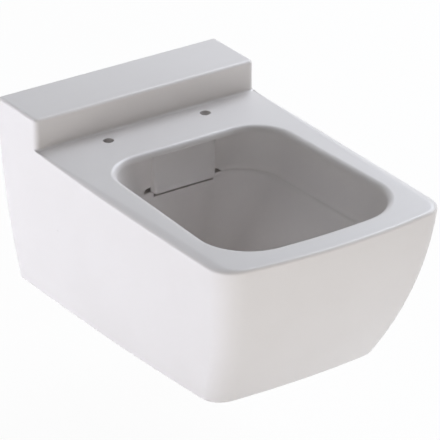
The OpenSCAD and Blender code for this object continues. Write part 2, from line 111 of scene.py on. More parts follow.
# %% Small functions on numbers and arrays
def mix(a, b, t):
    return a + (b - a) * t


def clip(t):
    return np.clip(t, 0.0, 1.0)


def ease(t):
    t = clip(t)
    return t * t * (3 - 2 * t)


def slack(t, lean):
    """A share that starts with a straight lean and goes on as a parabola."""
    return mix(t * t, t, lean)


# %% [markdown]
# ## Outlines of the skirt
#
# Seen from above, the skirt is a soft rectangle whose sides and front bow out. Its size, its bow
# and its corner radius all change with height. Each outline is an inner line with a sharp corner,
# pushed outward by the corner radius, so a smaller radius gives the same outline moved inward.
# That is how the deck's rounded edge and the inside of the casting come from the same rule.

# %% Points round one half of an outline
N_BACK, N_SIDE, N_CORNER, N_FRONT = 7, 56, 24, 26
N_HALF = N_BACK + N_SIDE + N_CORNER + 1 + N_FRONT
index = np.arange(N_HALF)
on_back = index < N_BACK
on_side = (index >= N_BACK) & (index < N_BACK + N_SIDE)
on_corner = (index >= N_BACK + N_SIDE) & (index <= N_BACK + N_SIDE + N_CORNER)
back_share = index / (N_BACK - 1)
side_share = (index - N_BACK) / N_SIDE
corner_share = (index - N_BACK - N_SIDE) / N_CORNER
front_share = (N_HALF - 1 - index) / N_FRONT


def skirt_at(z):
    """Half width, reach, side bow, its power, front bow radius and corner radius at a height."""
    d = clip((SKIRT_TOP - z) / (SKIRT_TOP - FOOT))
    return (
        PAN_WIDTH / 2 - SIDE_DROP * slack(d, SIDE_LEAN),
        PAN_REACH - FRONT_DROP * slack(d, FRONT_LEAN),
        mix(SIDE_BOW_TOP, SIDE_BOW_LOW, d),
        mix(BOW_POWER_TOP, BOW_POWER_LOW, d),
        mix(FRONT_BOW_TOP, FRONT_BOW_LOW, d),
        mix(CORNER_TOP, CORNER_LOW, d),
    )


def inner_side(z, y):
    half, reach, bow, power, _, corner = skirt_at(z)
    back = SWELL * (1 - ease((-y - BACK_DEPTH) / (SWELL_FULL - BACK_DEPTH)))
    return half - corner - bow * (np.maximum(0, -y) / reach) ** power - back


def inner_front(z, x):
    _, reach, _, _, front_bow, corner = skirt_at(z)
    return corner - reach + x * x / (2 * front_bow)


def side_slope(z, y):
    _, reach, bow, power, _, _ = skirt_at(z)
    return power * bow / reach * (np.maximum(0, -y) / reach) ** (power - 1)


def outline_half(z, inset=0.0):
    """The right half of the skirt's outline, from the wall round to the middle of the front."""
    z = np.broadcast_to(np.asarray(z, float), (N_HALF,))
    _, reach, _, _, front_bow, corner = skirt_at(z)
    r = corner - inset
    # the sharp corner of the inner line, found in two steps
    corner_y = inner_front(z, inner_side(z, -reach))
    corner_x = inner_side(z, corner_y)
    corner_y = inner_front(z, corner_x)
    on_side_y = mix(-BACK_DEPTH, corner_y, side_share)
    y = np.where(on_back, -(BACK_DEPTH - BACK_EDGE) * back_share, on_side_y)
    k = side_slope(z, y)
    side = np.stack([inner_side(z, y) + r / np.hypot(1, k), y - r * k / np.hypot(1, k)], 1)
    start = np.degrees(np.arctan2(-side_slope(z, corner_y), 1))
    end = np.degrees(np.arctan2(-1, corner_x / front_bow))
    a = np.radians(mix(start, end, corner_share))
    turn = np.stack([corner_x + r * np.cos(a), corner_y + r * np.sin(a)], 1)
    x = corner_x * front_share
    k = x / front_bow
    front = np.stack([x + r * k / np.hypot(1, k), inner_front(z, x) - r / np.hypot(1, k)], 1)
    p = np.where((on_back | on_side)[:, None], side, np.where(on_corner[:, None], turn, front))
    return np.column_stack([p, z])


def both_halves(half):
    """A whole ring, clockwise seen from above, that starts and ends at the wall."""
    return np.concatenate([half, (half * (-1, 1, 1))[-2::-1]])


def skirt_ring(z, inset=0.0):
    return both_halves(outline_half(z, inset))


print("one outline has", len(skirt_ring(0.0)), "points")

# %% [markdown]
# ## The outer skin
#
# The skin is one loft: rings for the soft foot, the leaning skirt, the deck's edge, and the
# raised back. The deck's edge is rounded little beside the raised back and broadly along the
# sides, which is why every point of an edge ring has a height and an inset of its own.

# %% Rings of the outer skin
EDGE_FULL = 400.0
N_ARC = 12


def edge_size(back, side, front):
    """An edge's size at each point: little beside the raised back, and growing along the sides."""
    away = clip((-outline_half(DECK)[:, 1] - BACK_DEPTH) / (EDGE_FULL - BACK_DEPTH))
    along = mix(back, side, np.sin(np.radians(90 * away)))
    return np.where(on_back, 0.0, np.where(on_side, along, mix(side, front, ease(corner_share))))


edge_w = edge_size(2.0, 16.0, 5.0)
edge_h = edge_size(2.0, 6.0, 5.0)


def edge_ring(a):
    z = DECK - edge_h * (1 - np.sin(a))
    return both_halves(outline_half(z, edge_w * (1 - np.cos(a))))


def ring_of(x, y, z):
    """The points of a ring from their coordinates, each of which may be one number for all."""
    return np.column_stack(np.broadcast_arrays(x, y, z))


def back_ring(z, inset=0.0, front_inset=0.0):
    """A ring round the raised back, with as many points as the skirt's rings."""
    half, deep, r = PAN_WIDTH / 2 - SWELL - inset, BACK_DEPTH - front_inset, BACK_EDGE - inset
    arc = (index >= N_BACK) & (index < N_BACK + N_ARC)
    a = np.radians(-90 * (index - N_BACK) / (N_ARC - 1))
    rest = (half - r) * (N_HALF - 1 - index) / (N_HALF - N_BACK - N_ARC)
    x = np.where(on_back, half, np.where(arc, half - r + r * np.cos(a), rest))
    y = np.where(on_back, -(deep - r) * back_share, np.where(arc, r * np.sin(a) - deep + r, -deep))
    return both_halves(ring_of(x, y, z))


def quarter(steps):
    """Angles of a quarter turn, for rounded edges."""
    return np.linspace(0, math.pi / 2, steps)


def in_by(r, a):
    """How far a rounded edge has moved inward at an angle."""
    return r * (1 - math.cos(a))


def down_by(r, a):
    """How far a rounded edge is still below its top at an angle."""
    return r * (1 - math.sin(a))


skin = [skirt_ring(FOOT + in_by(FOOT_EDGE, a), down_by(FOOT_EDGE, a)) for a in quarter(7)]
skin += [skirt_ring(z) for z in np.linspace(FOOT + FOOT_EDGE, DECK - 9, 44)[1:]]
skin += [edge_ring(a) for a in quarter(13)]
skin += [back_ring(DECK + in_by(BACK_FOOT, a), 0, -down_by(BACK_FOOT, a)) for a in quarter(7)]
for a in quarter(9):
    inset = in_by(BACK_TOP_EDGE, a)
    skin.append(back_ring(BACK_TOP - down_by(BACK_TOP_EDGE, a), inset, inset))
WIDEN = PAN_WIDTH / 2 / max(ring[:, 0].max() for ring in skin)
print(len(skin), "rings in the skin, widened by", round(WIDEN, 4), "to the full width")

# %% [markdown]
# ## Lofts and cuts
#
# A loft joins rings that all have as many points and closes both ends. The casting is then made
# as a mould maker thinks: solids are added and spaces are taken away, with Blender's Boolean
# modifier and its Manifold solver. The cut faces keep the cutter's material, so the hollow side
# stays bare clay and the bowl is glazed.

# %% Make meshes from rings
CLAY, GLAZE = 0, 1
casting_materials = [bpy.data.materials.new("bare_clay"), bpy.data.materials.new("white_glaze")]


def mesh_object(name, points, faces, slot=GLAZE):
    """An object from points in millimetres, with faces that point outward and are simple to cut."""
    mesh = bpy.data.meshes.new(name)
    mesh.from_pydata([tuple(p) for p in np.asarray(points) * MM], [], faces)
    for material in casting_materials:
        mesh.materials.append(material)
    split_big_faces(mesh, turn_outward=True)
    mesh.polygons.foreach_set("material_index", [slot] * len(mesh.polygons))
    return bpy.data.objects.new(name, mesh)


def split_big_faces(mesh, turn_outward=False):
    """Makes triangles of faces with more than four corners, which a cut could leave torn."""
    work = bmesh.new()
    work.from_mesh(mesh)
    bmesh.ops.triangulate(work, faces=[f for f in work.faces if len(f.verts) > 4])
    if turn_outward:
        bmesh.ops.recalc_face_normals(work, faces=work.faces)
    work.to_mesh(mesh)
    work.free()


def loft(name, rings, slot=GLAZE, widen=True):
    """A closed solid through rings, with a face over the first and the last ring."""
    m, n = len(rings[0]), len(rings)
    points = np.concatenate(rings) * ((WIDEN, 1, 1) if widen else (1, 1, 1))
    faces = [tuple(range(m)), tuple(range(m * n - 1, m * (n - 1) - 1, -1))]
    for k in range(n - 1):
        for i in range(m):
            a, b = k * m + i, k * m + (i + 1) % m
            faces.append((a, a + m, b + m, b))
    return mesh_object(name, points, faces, slot)


def hoop(name, rings):
    """A closed solid with a hole, whose last ring is joined to its first."""
    m, n = len(rings[0]), len(rings)
    faces = []
    for k in range(n):
        for i in range(m):
            a, b, up = k * m + i, k * m + (i + 1) % m, ((k + 1) % n - k) * m
            faces.append((a, b, b + up, a + up))
    return mesh_object(name, np.concatenate(rings), faces, 0)


def around(steps):
    """Angles of a whole turn, without its end."""
    return np.linspace(0, 2 * math.pi, steps, endpoint=False)


def round_along_y(name, r, start, end, x=0.0, z=0.0, slot=GLAZE, flare=0.0, steps=96):
    """A round bar from a distance off the wall to another, whose wall end may flare out softly."""
    a = around(steps)
    mouth = [(start, r)]
    if flare:
        mouth = [(start + flare * math.sin(t), r + down_by(flare, t)) for t in quarter(6)]
        mouth.insert(0, (start - 1.0, r + flare))
    rings = [ring_of(x + q * np.cos(a), -y, z + q * np.sin(a)) for y, q in [*mouth, (end, r)]]
    return loft(name, rings, slot, widen=False)


# %% Run modifiers, and join or cut solids
def apply_modifiers(o):
    """Makes what an object's modifiers give its plain mesh."""
    scene.collection.objects.link(o)
    dg = bpy.context.evaluated_depsgraph_get()
    o.data = bpy.data.meshes.new_from_object(o.evaluated_get(dg))
    o.modifiers.clear()
    scene.collection.objects.unlink(o)


def modify(o, kind, **settings):
    modifier = o.modifiers.new(kind.lower(), kind)
    for key, value in settings.items():
        setattr(modifier, key, value)


def combine(target, tools, operation):
    """Adds the tools to the target or cuts them out of it, and removes them."""
    for tool in tools:
        scene.collection.objects.link(tool)
        modify(target, "BOOLEAN", operation=operation, solver="MANIFOLD", object=tool)
    apply_modifiers(target)
    for tool in tools:
        bpy.data.objects.remove(tool)
    return target


casting = loft("casting", skin)
print("outer skin:", len(casting.data.polygons), "faces")

# %% [markdown]
# ## The bowl
#
# Seen from above, the bowl is a rounded rectangle whose sides are the common tangents of a back
# and a front corner. Going down, the wall meets a narrow ledge that carries the flush water round,
# and below it the bowl narrows to the sump. Each ring is seven sizes, so a soft corner between
# two slopes is a short curve drawn between those seven sizes.

# %% Rings of the bowl
BOWL_BACK, BOWL_FRONT, BOWL_HALF_BACK, BOWL_HALF_FRONT = 174.0, 506.0, 139.0, 145.0
RIM, RIM_BACK = 11.0, 7.5
BOWL_FRONT_BOW = 900.0
LEDGE_W = 5.0
SUMP_ROUND = 18.0
WALL_BACK, UPPER_BACK = 175.5, 177.0
# each size: back, front, half width at the back and front, corner radius at the back and front
SUMP_SIZE = np.array([172.0, 268.0, 52.0, 52.0, 24.0, 43.0])
LEDGE_SIZE = np.array([180.0, 480.0, 111.0, 116.0, 60.0, 76.0])
RIM_REACH = (BOWL_BACK + RIM_BACK, BOWL_FRONT - RIM, BOWL_HALF_BACK - RIM, BOWL_HALF_FRONT - RIM)
RIM_SIZE = np.array([*RIM_REACH, 51.0, 69.0])
WALL_SIZE = (165.0, 511.0, 144.0, 150.0, 71.0, 89.0)
INTO_DECK, ABOVE_DECK = 6.0, 2.0
OUTWARD = np.array([-1, 1, 1, 1, 1, 1])


def arc_points(centre, r, angles):
    return [(centre[0] + r * math.cos(a), centre[1] + r * math.sin(a)) for a in angles]


def bowl_ring(size, arc=26, straight=16):
    """A ring round the bowl from its height and its six sizes."""
    z, back, front, half_back, half_front, r_back, r_front = size
    c1 = np.array([half_back - r_back, -back - r_back])
    x2 = half_front - r_front
    c2 = np.array([x2, r_front - front + x2 * x2 / (2 * BOWL_FRONT_BOW)])
    d = c2 - c1
    n = math.atan2(d[1], d[0]) + math.acos((r_back - r_front) / math.hypot(*d))
    last = math.atan2(-1, x2 / BOWL_FRONT_BOW)
    half = [(c1[0] * i / straight, -back) for i in range(straight)]
    half += arc_points(c1, r_back, np.linspace(math.pi / 2, n, arc))
    for t in np.linspace(0, 1, straight + 2)[1:-1]:
        half += arc_points(mix(c1, c2, t), mix(r_back, r_front, t), [n])
    half += arc_points(c2, r_front, np.linspace(n, last, arc))
    for x in np.linspace(x2, 0, straight + 1)[1:]:
        k = x / BOWL_FRONT_BOW
        r = r_front / math.hypot(1, k)
        half.append((x + r * k, r_front - front + x * x / (2 * BOWL_FRONT_BOW) - r))
    half = ring_of(*np.array(half).T, z)
    return np.concatenate([half, (half * (-1, 1, 1))[-2:0:-1]])


def low_size(z, inset=0.0, grow=0.0):
    """The bowl between the sump and the ledge."""
    t = float(clip((z - SUMP) / (LEDGE - SUMP)))
    share = np.array([t**2, t**1.5, t**1.35, t**1.35, t**1.35, t**1.35])
    return np.array([z - grow, *(mix(SUMP_SIZE, LEDGE_SIZE, share) + OUTWARD * (grow - inset))])


def wall_size(z, back, share):
    """The bowl's upper wall, from the ledge's outer edge to the rim."""
    foot = LEDGE_SIZE + OUTWARD * LEDGE_W
    return np.array([z, back, *mix(foot, RIM_SIZE, share)[1:]])


def rim_size(a):
    size = RIM_SIZE + OUTWARD * in_by(RIM, a)
    size[0] = BOWL_BACK + RIM_BACK * math.cos(a)
    return np.array([DECK - down_by(RIM, a), *size])


def curve(start, corner, end, steps):
    """A short curve that leaves and arrives along the two sides of a corner."""
    shares = np.linspace(0, 1, steps)
    return [(1 - u) ** 2 * start + 2 * u * (1 - u) * corner + u * u * end for u in shares]


def soft_corner(before, corner, after, reach_in, reach_out):
    """A short curve that takes the place of a corner between two slopes of the profile."""
    ends = []
    for other, reach in ((before, reach_in), (after, reach_out)):
        slope = other - corner
        ends.append(corner + slope * min(1, reach / math.hypot(slope[0], slope[3])))
    return curve(ends[0], corner, ends[1], 7)


profile = [low_size(SUMP + down_by(SUMP_ROUND, a), in_by(SUMP_ROUND, a)) for a in quarter(10)[::-1]]
profile += [low_size(z) for z in np.linspace(SUMP + SUMP_ROUND, LEDGE - 6, 34)[1:]]
ledge_in, ledge_out = low_size(LEDGE), wall_size(LEDGE + 3, WALL_BACK, 0)
upper, rim_start = wall_size(DECK - 28, UPPER_BACK, 0.63), rim_size(0.2)
profile += soft_corner(low_size(LEDGE - 5), ledge_in, ledge_out, 3.5, 2.4)
profile += soft_corner(ledge_in, ledge_out, upper, 2.4, 5.0)
profile += soft_corner(ledge_out, upper, rim_start, 12, 9)
profile += [rim_size(a) for a in np.linspace(0.2, math.pi / 2, 14)]
profile += [np.array([DECK + ABOVE_DECK, *rim_size(math.pi / 2)[1:]])]
bowl_space = loft("bowl_space", [bowl_ring(size) for size in profile])

bowl_wall = [low_size(z, grow=BOWL_T) for z in np.linspace(SUMP + 6, LEDGE, 18)]
bowl_wall += [(DECK - INTO_DECK, *WALL_SIZE)]
bowl_shell = loft("bowl_shell", [bowl_ring(size) for size in bowl_wall], CLAY)
print("bowl:", len(profile), "rings of", len(bowl_ring(profile[0])), "points")

# %% [markdown]
# ## The trap and the flush way
#
# The trap is a tube that leaves the sump, climbs over the weir that keeps the water seal, and
# falls to the waste spigot. Its middle line is three arcs, and at each stop the passage has a
# reach to either side. The flush way starts round, for the pipe, and flattens to a wide mouth.

# %% Rings of the trap
TRAP_HALF_H, TRAP_HALF_W, TRAP_TURN, TRAP_CAP = 26.0, 38.0, 82.0, 0.5
TRAP_FLOOR = SUMP + 3.5
WEIR = TRAP_FLOOR + 2 * TRAP_HALF_H + 50.0
R1, R2, R3 = 36.0, 30.0, 44.0
WASTE_DROP, INLET_RISE = 100.0, 35.0
CENTRE_1 = (-174.0, TRAP_FLOOR + TRAP_HALF_H + R1)
CENTRE_2 = (-102.0, WEIR + TRAP_HALF_H - R2)
CENTRE_3 = (-27.5, R3 - WASTE_DROP)
TRAP_START = 32.0
TURN_STEPS, TURN_STEPS_BACK = np.linspace(0, TRAP_TURN, 14), np.linspace(TRAP_TURN, 0, 14)


def trap_ring(centre, r, angle, up, down, half, steps=48):
    """A ring across the trap, at an angle on an arc of its middle line."""
    t = math.radians(angle)
    y, z = centre[0] + r * math.sin(t), centre[1] - r * math.cos(t)
    a = around(steps)
    v = (up - down) / 2 + (up + down) / 2 * np.sin(a)
    return ring_of(half * np.cos(a), y - math.sin(t) * v, z + math.cos(t) * v)


def trap_rise(t):
    """From the sump up to the weir, grown by t."""
    high, wide, inner = TRAP_HALF_H + t, TRAP_HALF_W + t, min(TRAP_HALF_H + t, R2 - TRAP_CAP)
    rings = [trap_ring((CENTRE_1[0] - TRAP_START, CENTRE_1[1]), R1, 0, high, high, wide - 2)]
    rings += [trap_ring(CENTRE_1, R1, a, high, high, wide) for a in TURN_STEPS]
    return rings + [trap_ring(CENTRE_2, -R2, a, high, inner, wide) for a in TURN_STEPS_BACK]


def trap_fall(t):
    """From the weir down to the spigot, grown by t."""
    rings = []
    for a in np.linspace(0, -TRAP_TURN, 14):
        h = mix(TRAP_HALF_H, TRAP_HALF_H + 3, -a / TRAP_TURN) + t
        rings.append(trap_ring(CENTRE_2, -R2, a, h, min(h, R2 - TRAP_CAP), TRAP_HALF_W + t))
    for a in np.linspace(-TRAP_TURN, 0, 14):
        share = 1 + a / TRAP_TURN
        h = mix(32, 34, share) + t
        rings.append(trap_ring(CENTRE_3, R3, a, h, h, mix(40, 34, share) + t))
    return rings


trap_space = loft("trap_space", trap_rise(0) + trap_fall(0)[1:])
trap_shells = [loft("trap_shell", course(BOWL_T), CLAY) for course in (trap_rise, trap_fall)]
print("water seal from", round(TRAP_FLOOR + 2 * TRAP_HALF_H, 1), "to the weir at", round(WEIR, 1))

# %% Rings of the flush way
CHANNEL_HALF_W, CHANNEL_HALF_H, CHANNEL_T = 48.0, 15.0, 7.0
CHANNEL_FLAT, CHANNEL_MOUTH = 120.0, 160.0
INLET_R, INLET_LEN = 27.5, 52.0


def blunt(v, power):
    """A sine or cosine of a ring that grows squarer with the power."""
    return np.sign(v) * np.abs(v) ** (2 / power)


def channel_ring(y, share, t):
    w = mix(INLET_R - 4, CHANNEL_HALF_W, share) + t
    h = mix(INLET_R - 4, CHANNEL_HALF_H, share) + t
    power = mix(2, 4.5, share)
    a = around(64)
    return ring_of(w * blunt(np.cos(a), power), y, INLET_RISE - h * blunt(np.sin(a), power))


def channel(name, t, end, slot):
    """The flush way grown by t, from round at the inlet to flat."""
    shares = np.linspace(0, 1, 13)
    rings = [channel_ring(mix(6 - INLET_LEN, -CHANNEL_FLAT, k), float(ease(k)), t) for k in shares]
    return loft(name, rings + [channel_ring(-end, 1, t)], slot)


flush_way = channel("flush_way", 0, CHANNEL_MOUTH, GLAZE)
flush_shell = channel("flush_shell", CHANNEL_T, CHANNEL_MOUTH + 12, CLAY)
print("flush way's mouth:", 2 * CHANNEL_HALF_W, "by", 2 * CHANNEL_HALF_H, "mm")

# %% [markdown]
# ## The chamber behind the deflector, and the hollow side
#
# The deflector closes a chamber at the back of the bowl. Water leaves it through two small arched
# outlets beside the deflector's lower corners and through a slot under it. Behind the skirt the
# casting is hollow, with a back wall that has two windows for the brackets' arms, and two sloping
# shelves on which the clamp screws press.

# %% Prisms and their outlines
def prism(name, outline, start, end, axis="y", slot=GLAZE):
    """A solid with an outline across an axis, from one place on the axis to another."""
    u, v = np.asarray(outline, float).T
    rings = [ring_of(u, at, v) if axis == "y" else ring_of(u, v, at) for at in (start, end)]
    return loft(name, rings, slot)


def rounded_box(x0, x1, z0, z1, r, steps=6):
    """A rectangle whose corners are rounded by r, or by one radius each, with 0 for a sharp one."""
    rs = [r] * 4 if np.isscalar(r) else r
    out = []
    for (cx, cz, a0), q in zip(((x1, z1, 0), (x0, z1, 90), (x0, z0, 180), (x1, z0, 270)), rs):
        sx, sz = (-1 if cx == x1 else 1), (-1 if cz == z1 else 1)
        turn = np.radians(np.linspace(a0, a0 + 90, steps if q > 0 else 1))
        out += arc_points((cx + sx * q, cz + sz * q), q, turn)
    return out


def with_mirror(right):
    """An outline from its right half."""
    return np.concatenate([right, (np.array(right) * (-1, 1))[::-1]])


def middle_box(half, low, high, r):
    return rounded_box(-half, half, low, high, r)


def side_box(s, inner, outer, low, high, r, steps=6):
    """A box on the right for s = 1, and on the left for s = -1."""
    return rounded_box(*sorted((s * inner, s * outer)), low, high, r, steps)


# %% The chamber and its openings into the bowl
DEFLECTOR_HALF, DEFLECTOR_FACE, DEFLECTOR_BACK = 50.0, 181.5, 176.0
DEFLECTOR_TOP = DECK - RIM_BACK
CHAMBER_HALF, CHAMBER_TOP, CHAMBER_BACK, CHAMBER_LOW = 44.0, 54.0, 157.0, LEDGE - 2.5
SLOT_HALF, SLOT_BACK, SLOT_LOW, SLOT_TOP = 47.5, 172.0, LEDGE - 6.5, LEDGE + 3
OUTLET_HALF, OUTLET_BACK, OUTLET_LOW, OUTLET_H, OUTLET_ARCH = 61.5, 163.0, LEDGE + 1.2, 5.5, 13.0
SHELL_HALF, SHELL_FRONT, SHELL_BACK = 80.0, 172.0, 149.0
ALMOST_SHARP = 0.01
SEAT = (DEFLECTOR_HALF, LEDGE, DEFLECTOR_TOP, ALMOST_SHARP)
# both side outlets in one: highest beside the plate, and arched down to the ledge
arch = [(in_by(OUTLET_ARCH, a), OUTLET_H * math.sin(a)) for a in quarter(10)]
outlets = [(OUTLET_HALF - inward, OUTLET_LOW + up) for inward, up in arch]
spaces = {
    "chamber": (middle_box(CHAMBER_HALF, CHAMBER_LOW, CHAMBER_TOP, (4, 4, 1, 1)), CHAMBER_BACK),
    "slot": (middle_box(SLOT_HALF, SLOT_LOW, SLOT_TOP, 1), SLOT_BACK),
    "side_outlets": (with_mirror(outlets), OUTLET_BACK),
    "deflector_seat": (middle_box(*SEAT), DEFLECTOR_BACK),
}
chamber = [prism(name, outline, -DEFLECTOR_FACE - 8, -y) for name, (outline, y) in spaces.items()]
shell_outline = middle_box(SHELL_HALF, LEDGE - 10, LEDGE + 18, (6, 6, 3, 3))
chamber_shell = prism("chamber_shell", shell_outline, -SHELL_FRONT, -SHELL_BACK, slot=CLAY)
print("chamber:", ", ".join(spaces))

# %% The hollow side, the back wall and the shelves
IN_SKIN, THROUGH_WALL = 4.0, 2.0
cavity = [skirt_ring(z, SHELL_T) for z in np.linspace(FOOT + SHELL_T, CAVITY_TOP, 22)]
narrow = (PAN_WIDTH / 2 - SHELL_T) / (PAN_WIDTH / 2 - BACK_EDGE + 1)
for z in (CAVITY_TOP, BACK_TOP - DECK_T):
    cavity.append(back_ring(z, BACK_EDGE - 1, DECK_T) * (narrow, 1, 1))
for ring in cavity:
    ring[[0, -1], 1] = THROUGH_WALL
hollow = loft("hollow", cavity, CLAY)

GAP_HALF, GAP_LEN, GAP_ROUND = 72.0, 66.0, 10.0
gap_outline = middle_box(GAP_HALF, -GAP_LEN, 12, (ALMOST_SHARP, ALMOST_SHARP, GAP_ROUND, GAP_ROUND))
foot_gap = prism("foot_gap", gap_outline, FOOT - 1, FOOT + SHELL_T + 1, "z", CLAY)

WEB_T, WEB_LOW, HANG = 14.0, -36.0, 26.0
WINDOW_IN, WINDOW_OUT, WINDOW_LOW = 61.0, 113.0, -31.0
edge = [(skirt_at(z)[0] - SWELL - IN_SKIN, z) for z in np.linspace(WEB_LOW, BACK_TOP - 6, 9)]
web = prism("back_wall", with_mirror(edge), -WEB_T, -0.05, slot=CLAY)
windows = []
for s in (-1, 1):
    outline = side_box(s, WINDOW_IN, WINDOW_OUT, WINDOW_LOW, HANG, (0.5, 0.5, 4, 4))
    windows.append(prism("window", outline, -20, 5, slot=CLAY))

HINGE_HALF, HINGE_BACK, HINGE_R = 77.5, 117.0, 7.25
SHELF_IN, SHELF_T, SHELF_HALF, SHELF_Z, SHELF_SLOPE = 44.0, 22.0, 20.0, -8.0, 12.0


def shelf(s):
    """A block beside the skirt, under the clamp screw, whose top slopes."""
    outline = side_box(s, SHELF_IN, skirt_at(SHELF_Z)[0] - IN_SKIN, -SHELF_T, 0, 0.5, 3)
    o = prism("shelf", outline, -SHELF_HALF, SHELF_HALF, slot=CLAY)
    turn = Matrix.Rotation(math.radians(SHELF_SLOPE), 4, "X")
    o.data.transform(Matrix.Translation((0, -HINGE_BACK * MM, SHELF_Z * MM)) @ turn)
    return o


shelves = [shelf(-1), shelf(1)]
print("hollow side:", len(cavity), "rings")

# %% Round parts of the casting
SPIGOT_R, SPIGOT_BORE, SPIGOT_END, SPIGOT_ROOT, COLLAR_R = 51.0, 43.0, 2.0, 40.5, 55.0
HORN_R, SEAL_FLANGE_R, SEAL_FLANGE_T, SEAT_GAP = INLET_R + 8, 33.0, 3.0, 0.15
BEHIND = -3.0
horn = round_along_y("horn", HORN_R, 1, INLET_LEN, z=INLET_RISE, slot=CLAY)
waste = {"z": -WASTE_DROP}
collar = round_along_y("collar", COLLAR_R, SPIGOT_ROOT - 8, SPIGOT_ROOT + 6.5, slot=CLAY, **waste)
spigot = round_along_y("spigot", SPIGOT_R, SPIGOT_END, SPIGOT_ROOT, **waste)
bore_ends = SPIGOT_END - 0.2, SPIGOT_ROOT + 1
waste_bore = round_along_y("waste_bore", SPIGOT_BORE, *bore_ends, flare=1.5, **waste)
bores = [
    round_along_y("spigot_mouth", (SPIGOT_R + SPIGOT_BORE) / 2, BEHIND, SPIGOT_ROOT - 1.5, **waste),
    round_along_y("inlet_bore", INLET_R + SEAT_GAP, BEHIND, INLET_LEN, z=INLET_RISE),
    round_along_y("seal_seat", SEAL_FLANGE_R + SEAT_GAP, BEHIND, SEAL_FLANGE_T, z=INLET_RISE),
]


def level_ring(r, a, z, x=0.0, y=0.0):
    """A level ring round a place, whose radius may differ from angle to angle."""
    return ring_of(x + r * np.cos(a), y + r * np.sin(a), z)


def hinge_hole(s, soft=1.0):
    """A hole through the deck whose mouth is softly rounded by the glaze."""
    a = around(64)[::-1]
    stops = [(CAVITY_TOP - 4, HINGE_R), (DECK - soft, HINGE_R)]
    stops += [(DECK - down_by(soft, t), HINGE_R + in_by(soft, t)) for t in quarter(7)[1:]]
    stops += [(DECK + ABOVE_DECK, HINGE_R + soft)]
    rings = [level_ring(r, a, z, s * HINGE_HALF, -HINGE_BACK) for z, r in stops]
    return loft("hinge_hole", rings, widen=False)


hinge_holes = [hinge_hole(-1), hinge_hole(1)]
print("round cuts:", len(bores) + len(hinge_holes))

# %% Put the casting together
combine(casting, [hollow, foot_gap], "DIFFERENCE")
combine(web, windows, "DIFFERENCE")
shells = [bowl_shell, *trap_shells, flush_shell, chamber_shell]
combine(casting, [*shells, horn, collar, web, *shelves], "UNION")
combine(casting, [bowl_space, trap_space, flush_way, *chamber, *bores, *hinge_holes], "DIFFERENCE")
combine(casting, [combine(spigot, [waste_bore], "DIFFERENCE")], "UNION")
print("casting:", len(casting.data.polygons), "faces")

# %% [markdown]
# ## Finishing a mesh
#
# A cut mesh has long flat faces beside narrow curved ones. Weighted normals let the large faces
# keep their own direction, so a flat deck shades flat right up to its rounded edge. Only edges
# sharper than a set angle stay hard.

# %% Shade, name and seat a finished piece
def soften_edges(o, width):
    """Rounds every edge that turns by more than 35 degrees."""
    limit = {"limit_method": "ANGLE", "angle_limit": math.radians(35)}
    modify(o, "BEVEL", width=width * MM, segments=3, **limit)
    apply_modifiers(o)


def finish_piece(o, name, nodes, sharp=40.0):
    """Splits big faces, shades the mesh, and lets it stand for its CAD nodes."""
    split_big_faces(o.data)
    o.data.shade_smooth()
    o.data.set_sharp_from_angle(angle=math.radians(sharp))
    modify(o, "WEIGHTED_NORMAL", keep_sharp=True)
    apply_modifiers(o)
    scene.collection.objects.link(o)
    o.name = o.data.name = name
    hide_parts(*nodes)
    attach(o, "root")
    print(name, len(o.data.polygons), "faces")
    return o


def at_wall(face):
    return face.normal.y > 0.9 and face.center.y > -0.5 * MM


faces = casting.data.polygons
faces.foreach_set("material_index", [CLAY if at_wall(f) else f.material_index for f in faces])
china_pan = finish_piece(casting, "china_pan", ["pan"], sharp=32)

# %% [markdown]
# ## The flush deflector
#
# A flat cast plate that stands in its seat at the back of the bowl. Only its face and its soft
# upright edges show. It starts flush with the wall under the rim and stands out more and more
# towards its foot, where it is also a little narrower.

# %% Make the deflector
PLATE_LEAN, PLATE_TAPER, PLATE_EDGE = 5.0, 1.5, 0.8


def plate_ring(z, inset):
    """Straight sides in the seat, then sides that draw in a little to a face with rounded edges."""
    down = (DEFLECTOR_TOP - z) / (DEFLECTOR_TOP - LEDGE)
    half, seat_half = DEFLECTOR_HALF - PLATE_TAPER * down - inset, DEFLECTOR_HALF - inset
    front_y = inset - DEFLECTOR_FACE - PLATE_LEAN * down**1.3
    r = mix(2.5, 5.5, down)
    seat_y = mix(-DEFLECTOR_FACE, -DEFLECTOR_BACK, float(clip(down / 0.45))) - 0.2
    right = [(seat_half, -DEFLECTOR_BACK), (seat_half, max(seat_y, front_y + r))]
    right += [(half - in_by(r, a), front_y + down_by(r, a)) for a in quarter(12)]
    return ring_of(*with_mirror(right).T, z)


plate = [plate_ring(LEDGE + down_by(PLATE_EDGE, a), in_by(PLATE_EDGE, a)) for a in quarter(5)[::-1]]
plate += [plate_ring(z, 0) for z in np.linspace(LEDGE + PLATE_EDGE, DEFLECTOR_TOP, 12)[1:]]
deflector = loft("deflector", plate, 0, widen=False)
finish_piece(deflector, "deflector_plate", ["flush_deflector"])

# %% [markdown]
# ## Node helpers
#
# Every finish is made of nodes. A small function adds a node and fills its inputs in order, with
# plain values or with links, so that a whole effect reads as a few lines. Effects that more than
# one material uses are groups, made once.

# %% Build nodes and groups with few words
SOCKETS = {
    "value": "NodeSocketFloat",
    "color": "NodeSocketColor",
    "vector": "NodeSocketVector",
    "material": "NodeSocketMaterial",
    "geometry": "NodeSocketGeometry",
}


def node(tree, kind, *values, **settings):
    """Adds a node; each value fills the next input, a socket as a link, None leaves it alone."""
    made = tree.nodes.new(kind)
    for key, value in settings.items():
        setattr(made, key, value)
    fill(tree, made, {i: v for i, v in enumerate(values) if v is not None})
    return made


def fill(tree, made, values):
    for key, value in values.items():
        if isinstance(value, bpy.types.NodeSocket):
            tree.links.new(value, made.inputs[key])
        else:
            made.inputs[key].default_value = value


